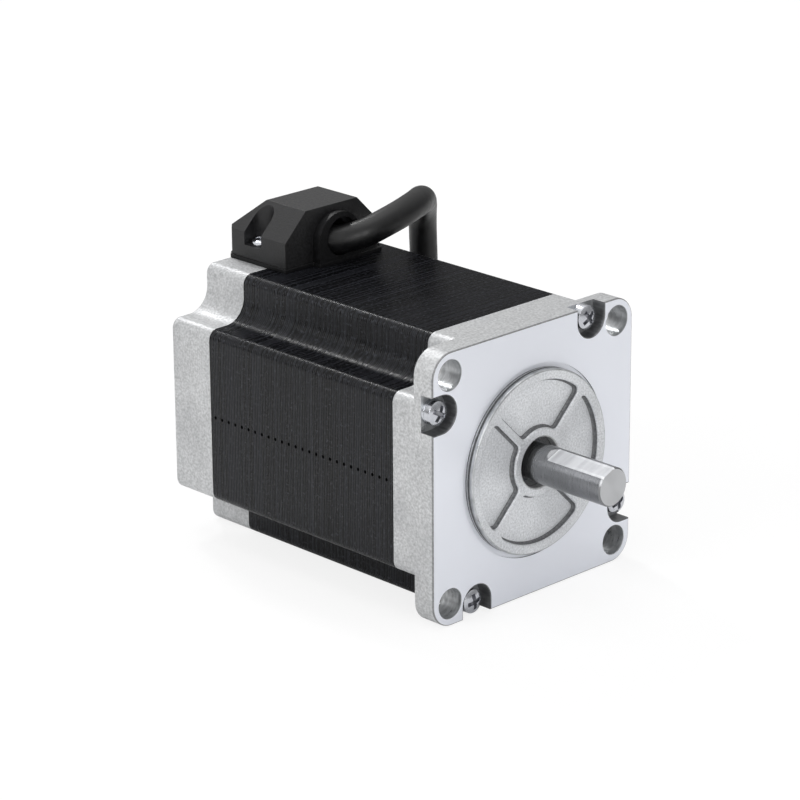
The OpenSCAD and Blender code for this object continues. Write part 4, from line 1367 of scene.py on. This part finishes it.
@dataclass
class Shaft:
    """The rotor's shaft with its milled flat and turned end.

    The journals are pairs of x and radius from the rear end to just past the boss. From there
    the drawn radius is a hair less than the shaft's.
    """

    r: float = 4.0
    tip_x: float = 21.0
    flat_at: float = 3.5
    flat_deg: float = 112.0
    flat_x: float = 6.3
    run_half: float = 0.9
    cutter_r: float = 3.0
    chamfer: float = 0.3
    hair: float = 0.005
    run_before: float = 1.2
    journals: tuple = ((-73.8, 0), (-73.8, 3.7), (-73.5, 4), (-66.5, 4), (-66.5, 4.8), (-10, 4.8),
                       (-10, 4), (-2.5, 4), (-2.5, 3.75), (2.98, 3.75), (3.0, 4))
    end_radii: tuple = (2.9, 2.0, 1.0, 0.0)
    around: int = 192

    def build(self, shop: Workshop) -> None:
        """A turned profile whose radius is cut off by the flat's plane.

        Where the cosine of the angle from the flat's middle times the radius is more than the
        plane's distance, the radius is that distance over the cosine. The plane rises to the
        shaft's surface along a circle of the cutter's radius.

        Args:
            shop: Makes the finishes and dresses the pieces.
        """
        run = np.linspace(-self.run_half, self.run_half, 13) + self.flat_x
        turned = list(self.journals) + [(x, self.r - self.hair) for x in run]
        turned += [(self.tip_x - self.chamfer, self.r - 2 * self.hair)]
        face = [(self.tip_x, r) for r in (self.r - self.chamfer,) + self.end_radii]
        prof = np.array(turned + face)
        edge = math.degrees(math.acos(self.flat_at / self.r))
        a = np.unique(np.concatenate([np.linspace(-180, 180, self.around, endpoint=False),
                                      [-edge, edge], np.linspace(-edge, edge, 25)]))
        a = np.radians(a[a < 180])
        x, radius = prof[:, 0, None], prof[:, 1, None] + 0 * a
        rise = np.clip(self.flat_x + self.run_half - x, 0, self.cutter_r)
        plane = self.flat_at + self.cutter_r - np.sqrt(self.cutter_r ** 2 - rise ** 2)
        plane = np.where(x > self.flat_x - self.run_before, plane, np.inf)
        cut = plane / np.maximum(np.cos(a), 1e-3)
        radius = np.where(radius > cut, cut, radius)
        turn = a + math.radians(self.flat_deg)
        points = np.stack([x + 0 * a, radius * np.cos(turn), radius * np.sin(turn)], -1)
        # The flat's faces get the paler tone of the painted highlight.
        on_flat = ((np.abs(a) < math.radians(edge) - 1e-6) & (x > self.flat_x)
                   & (x < self.tip_x - self.chamfer / 2))
        skin = on_flat.astype(int) + 2 * (x + 0 * a > self.tip_x - 1e-6)
        s = Surface()
        s.grid(points, skin[:-1])
        shop.fit(s.make("output_shaft", 24), "shaft_steel", "shaft", SHAFT, FLAT_HIGHLIGHT, END,
                 body=Body.ROTOR)


# Each lamp: where it stands and what it is aimed at, in metres, its size and its level.
BODY_MIDDLE = (-0.03, 0.0, 0.0)
LAMPS = {
    "top_lamp": ((-0.1, 0.0, 1.2), BODY_MIDDLE, 0.9, 0.26),
    "rear_lamp": ((-0.85, 0.22, 0.9), BODY_MIDDLE, 0.16, 0.22),
    "side_lamp": ((-0.3, -1.3, 0.75), BODY_MIDDLE, 0.6, 0.28),
    "front_lamp": ((0.75, -0.5, 0.3), (0.0, -0.02, 0.0), 0.5, 0.36),
}
WHITE = (1, 1, 1, 1)
PALE = (0.9, 0.9, 0.9, 1)


@dataclass
class Studio:
    """Camera at the photograph's angle, pale floor, soft lamps and pale surroundings."""

    azimuth: float = -0.7703112
    elevation: float = 0.3410175
    roll: float = -0.006683
    distance: float = 664.4142
    shift: tuple = (26.52707, -11.93468)
    focal_px: float = 3366.101
    frame_px: float = 800.0
    sensor: float = 36.0
    floor_m: float = -0.0283
    floor_half_m: float = 4.0
    floor_glow: float = 1.06
    floor_own_share: float = 0.75
    room_span: tuple = (0.15, 0.9)
    room_low: float = 0.35
    room_diffuse: float = 0.45

    def camera(self) -> None:
        """Stands the camera on the line of sight found from the photograph."""
        flat = math.cos(self.elevation)
        d = np.array([flat * math.cos(self.azimuth), flat * math.sin(self.azimuth),
                      math.sin(self.elevation)])
        right = np.cross(-d, (0, 0, 1.0))
        right /= np.linalg.norm(right)
        up = np.cross(right, -d)
        c, s = math.cos(self.roll), math.sin(self.roll)
        right, up = c * right + s * up, -s * right + c * up
        place = (d * self.distance - right * self.shift[0] - up * self.shift[1]) * MM
        data = bpy.data.cameras.new("photo_camera")
        data.sensor_width = self.sensor
        data.lens = self.focal_px * self.sensor / self.frame_px
        data.clip_start = 0.01
        data.clip_end = 100
        eye = placed("photo_camera", data)
        eye.matrix_world = Matrix([(right[i], up[i], d[i], place[i]) for i in range(3)]
                                  + [(0, 0, 0, 1)])
        bpy.context.scene.camera = eye

    def lamp(self, name: str, place: tuple, aim: tuple, size: float, level: float) -> None:
        """A soft square lamp, set so that white at its aim, facing it, renders at level.

        Args:
            name: The lamp's name.
            place: Where it stands, in metres.
            aim: What it is aimed at.
            size: Its side, in metres.
            level: The level that it gives white.
        """
        data = bpy.data.lights.new(name, "AREA")
        data.shape = "SQUARE"
        data.size = size
        gap = Vector(aim) - Vector(place)
        data.energy = level * math.pi ** 2 * gap.length_squared
        lamp = placed(name, data)
        lamp.location = place
        lamp.rotation_euler = gap.to_track_quat("-Z", "Y").to_euler()

    def surroundings(self) -> None:
        """White for the camera; for shiny surfaces a pale room that is brighter above."""
        world = bpy.data.worlds.new("pale_room")
        bpy.context.scene.world = world
        world.use_nodes = True
        tree = world.node_tree
        tree.nodes.clear()
        path = add_node(tree, "ShaderNodeLightPath").outputs
        up = split(tree, add_node(tree, "ShaderNodeTexCoord").outputs["Generated"])["Z"]
        room = add_node(tree, "ShaderNodeMapRange", {"interpolation_type": "SMOOTHSTEP"},
                        {"Value": up}, From_Min=self.room_span[0], From_Max=self.room_span[1],
                        To_Min=self.room_low, To_Max=1.0)
        seen = calc(tree, "MAXIMUM", path["Is Glossy Ray"], path["Is Transmission Ray"])
        lit = add_node(tree, "ShaderNodeMix", {}, {0: seen, 3: room.outputs[0]},
                       _2=self.room_diffuse)
        final = add_node(tree, "ShaderNodeMix", {}, {0: path["Is Camera Ray"], 2: lit.outputs[0]},
                         _3=1.0)
        ground = add_node(tree, "ShaderNodeBackground", {}, {"Strength": final.outputs[0]},
                          Color=WHITE)
        add_node(tree, "ShaderNodeOutputWorld", {}, {"Surface": ground.outputs[0]})

    def floor(self) -> None:
        """A wide pale floor, part of whose white is its own so that only the shadow shows."""
        mesh = bpy.data.meshes.new("studio_floor")
        h, z = self.floor_half_m, self.floor_m
        mesh.from_pydata([(-h, -h, z), (h, -h, z), (h, h, z), (-h, h, z)], [], [(0, 1, 2, 3)])
        slab = placed("studio_floor", mesh)
        material = bpy.data.materials.new("pale_floor")
        material.use_nodes = True
        tree = material.node_tree
        tree.nodes.clear()
        seen = add_node(tree, "ShaderNodeLightPath").outputs["Is Camera Ray"]
        share = calc(tree, "MULTIPLY", seen, self.floor_own_share)
        matt = add_node(tree, "ShaderNodeBsdfDiffuse", Color=PALE)
        glow = add_node(tree, "ShaderNodeEmission", Color=WHITE, Strength=self.floor_glow)
        both = add_node(tree, "ShaderNodeMixShader", {},
                        {0: share, 1: matt.outputs[0], 2: glow.outputs[0]})
        add_node(tree, "ShaderNodeOutputMaterial", {}, {"Surface": both.outputs[0]})
        mesh.materials.append(material)

    def build(self) -> None:
        """Camera, floor, surroundings and lamps."""
        self.camera()
        self.floor()
        self.surroundings()
        for name, (place, aim, size, level) in LAMPS.items():
            self.lamp(name, place, aim, size, level)
        bpy.context.scene.view_settings.view_transform = "Standard"


def main() -> None:
    """Builds the camera and the cable first, then each sub-assembly, and reports each piece."""
    logging.basicConfig(level=logging.INFO, format="%(name)s %(message)s")
    shop = Workshop()
    Studio().build()
    for part in (Cable(), FrontCover(), Housing(), Screws(), Shaft()):
        part.build(shop)
    shop.dress_nodes()


if __name__ == "__main__":
    main()
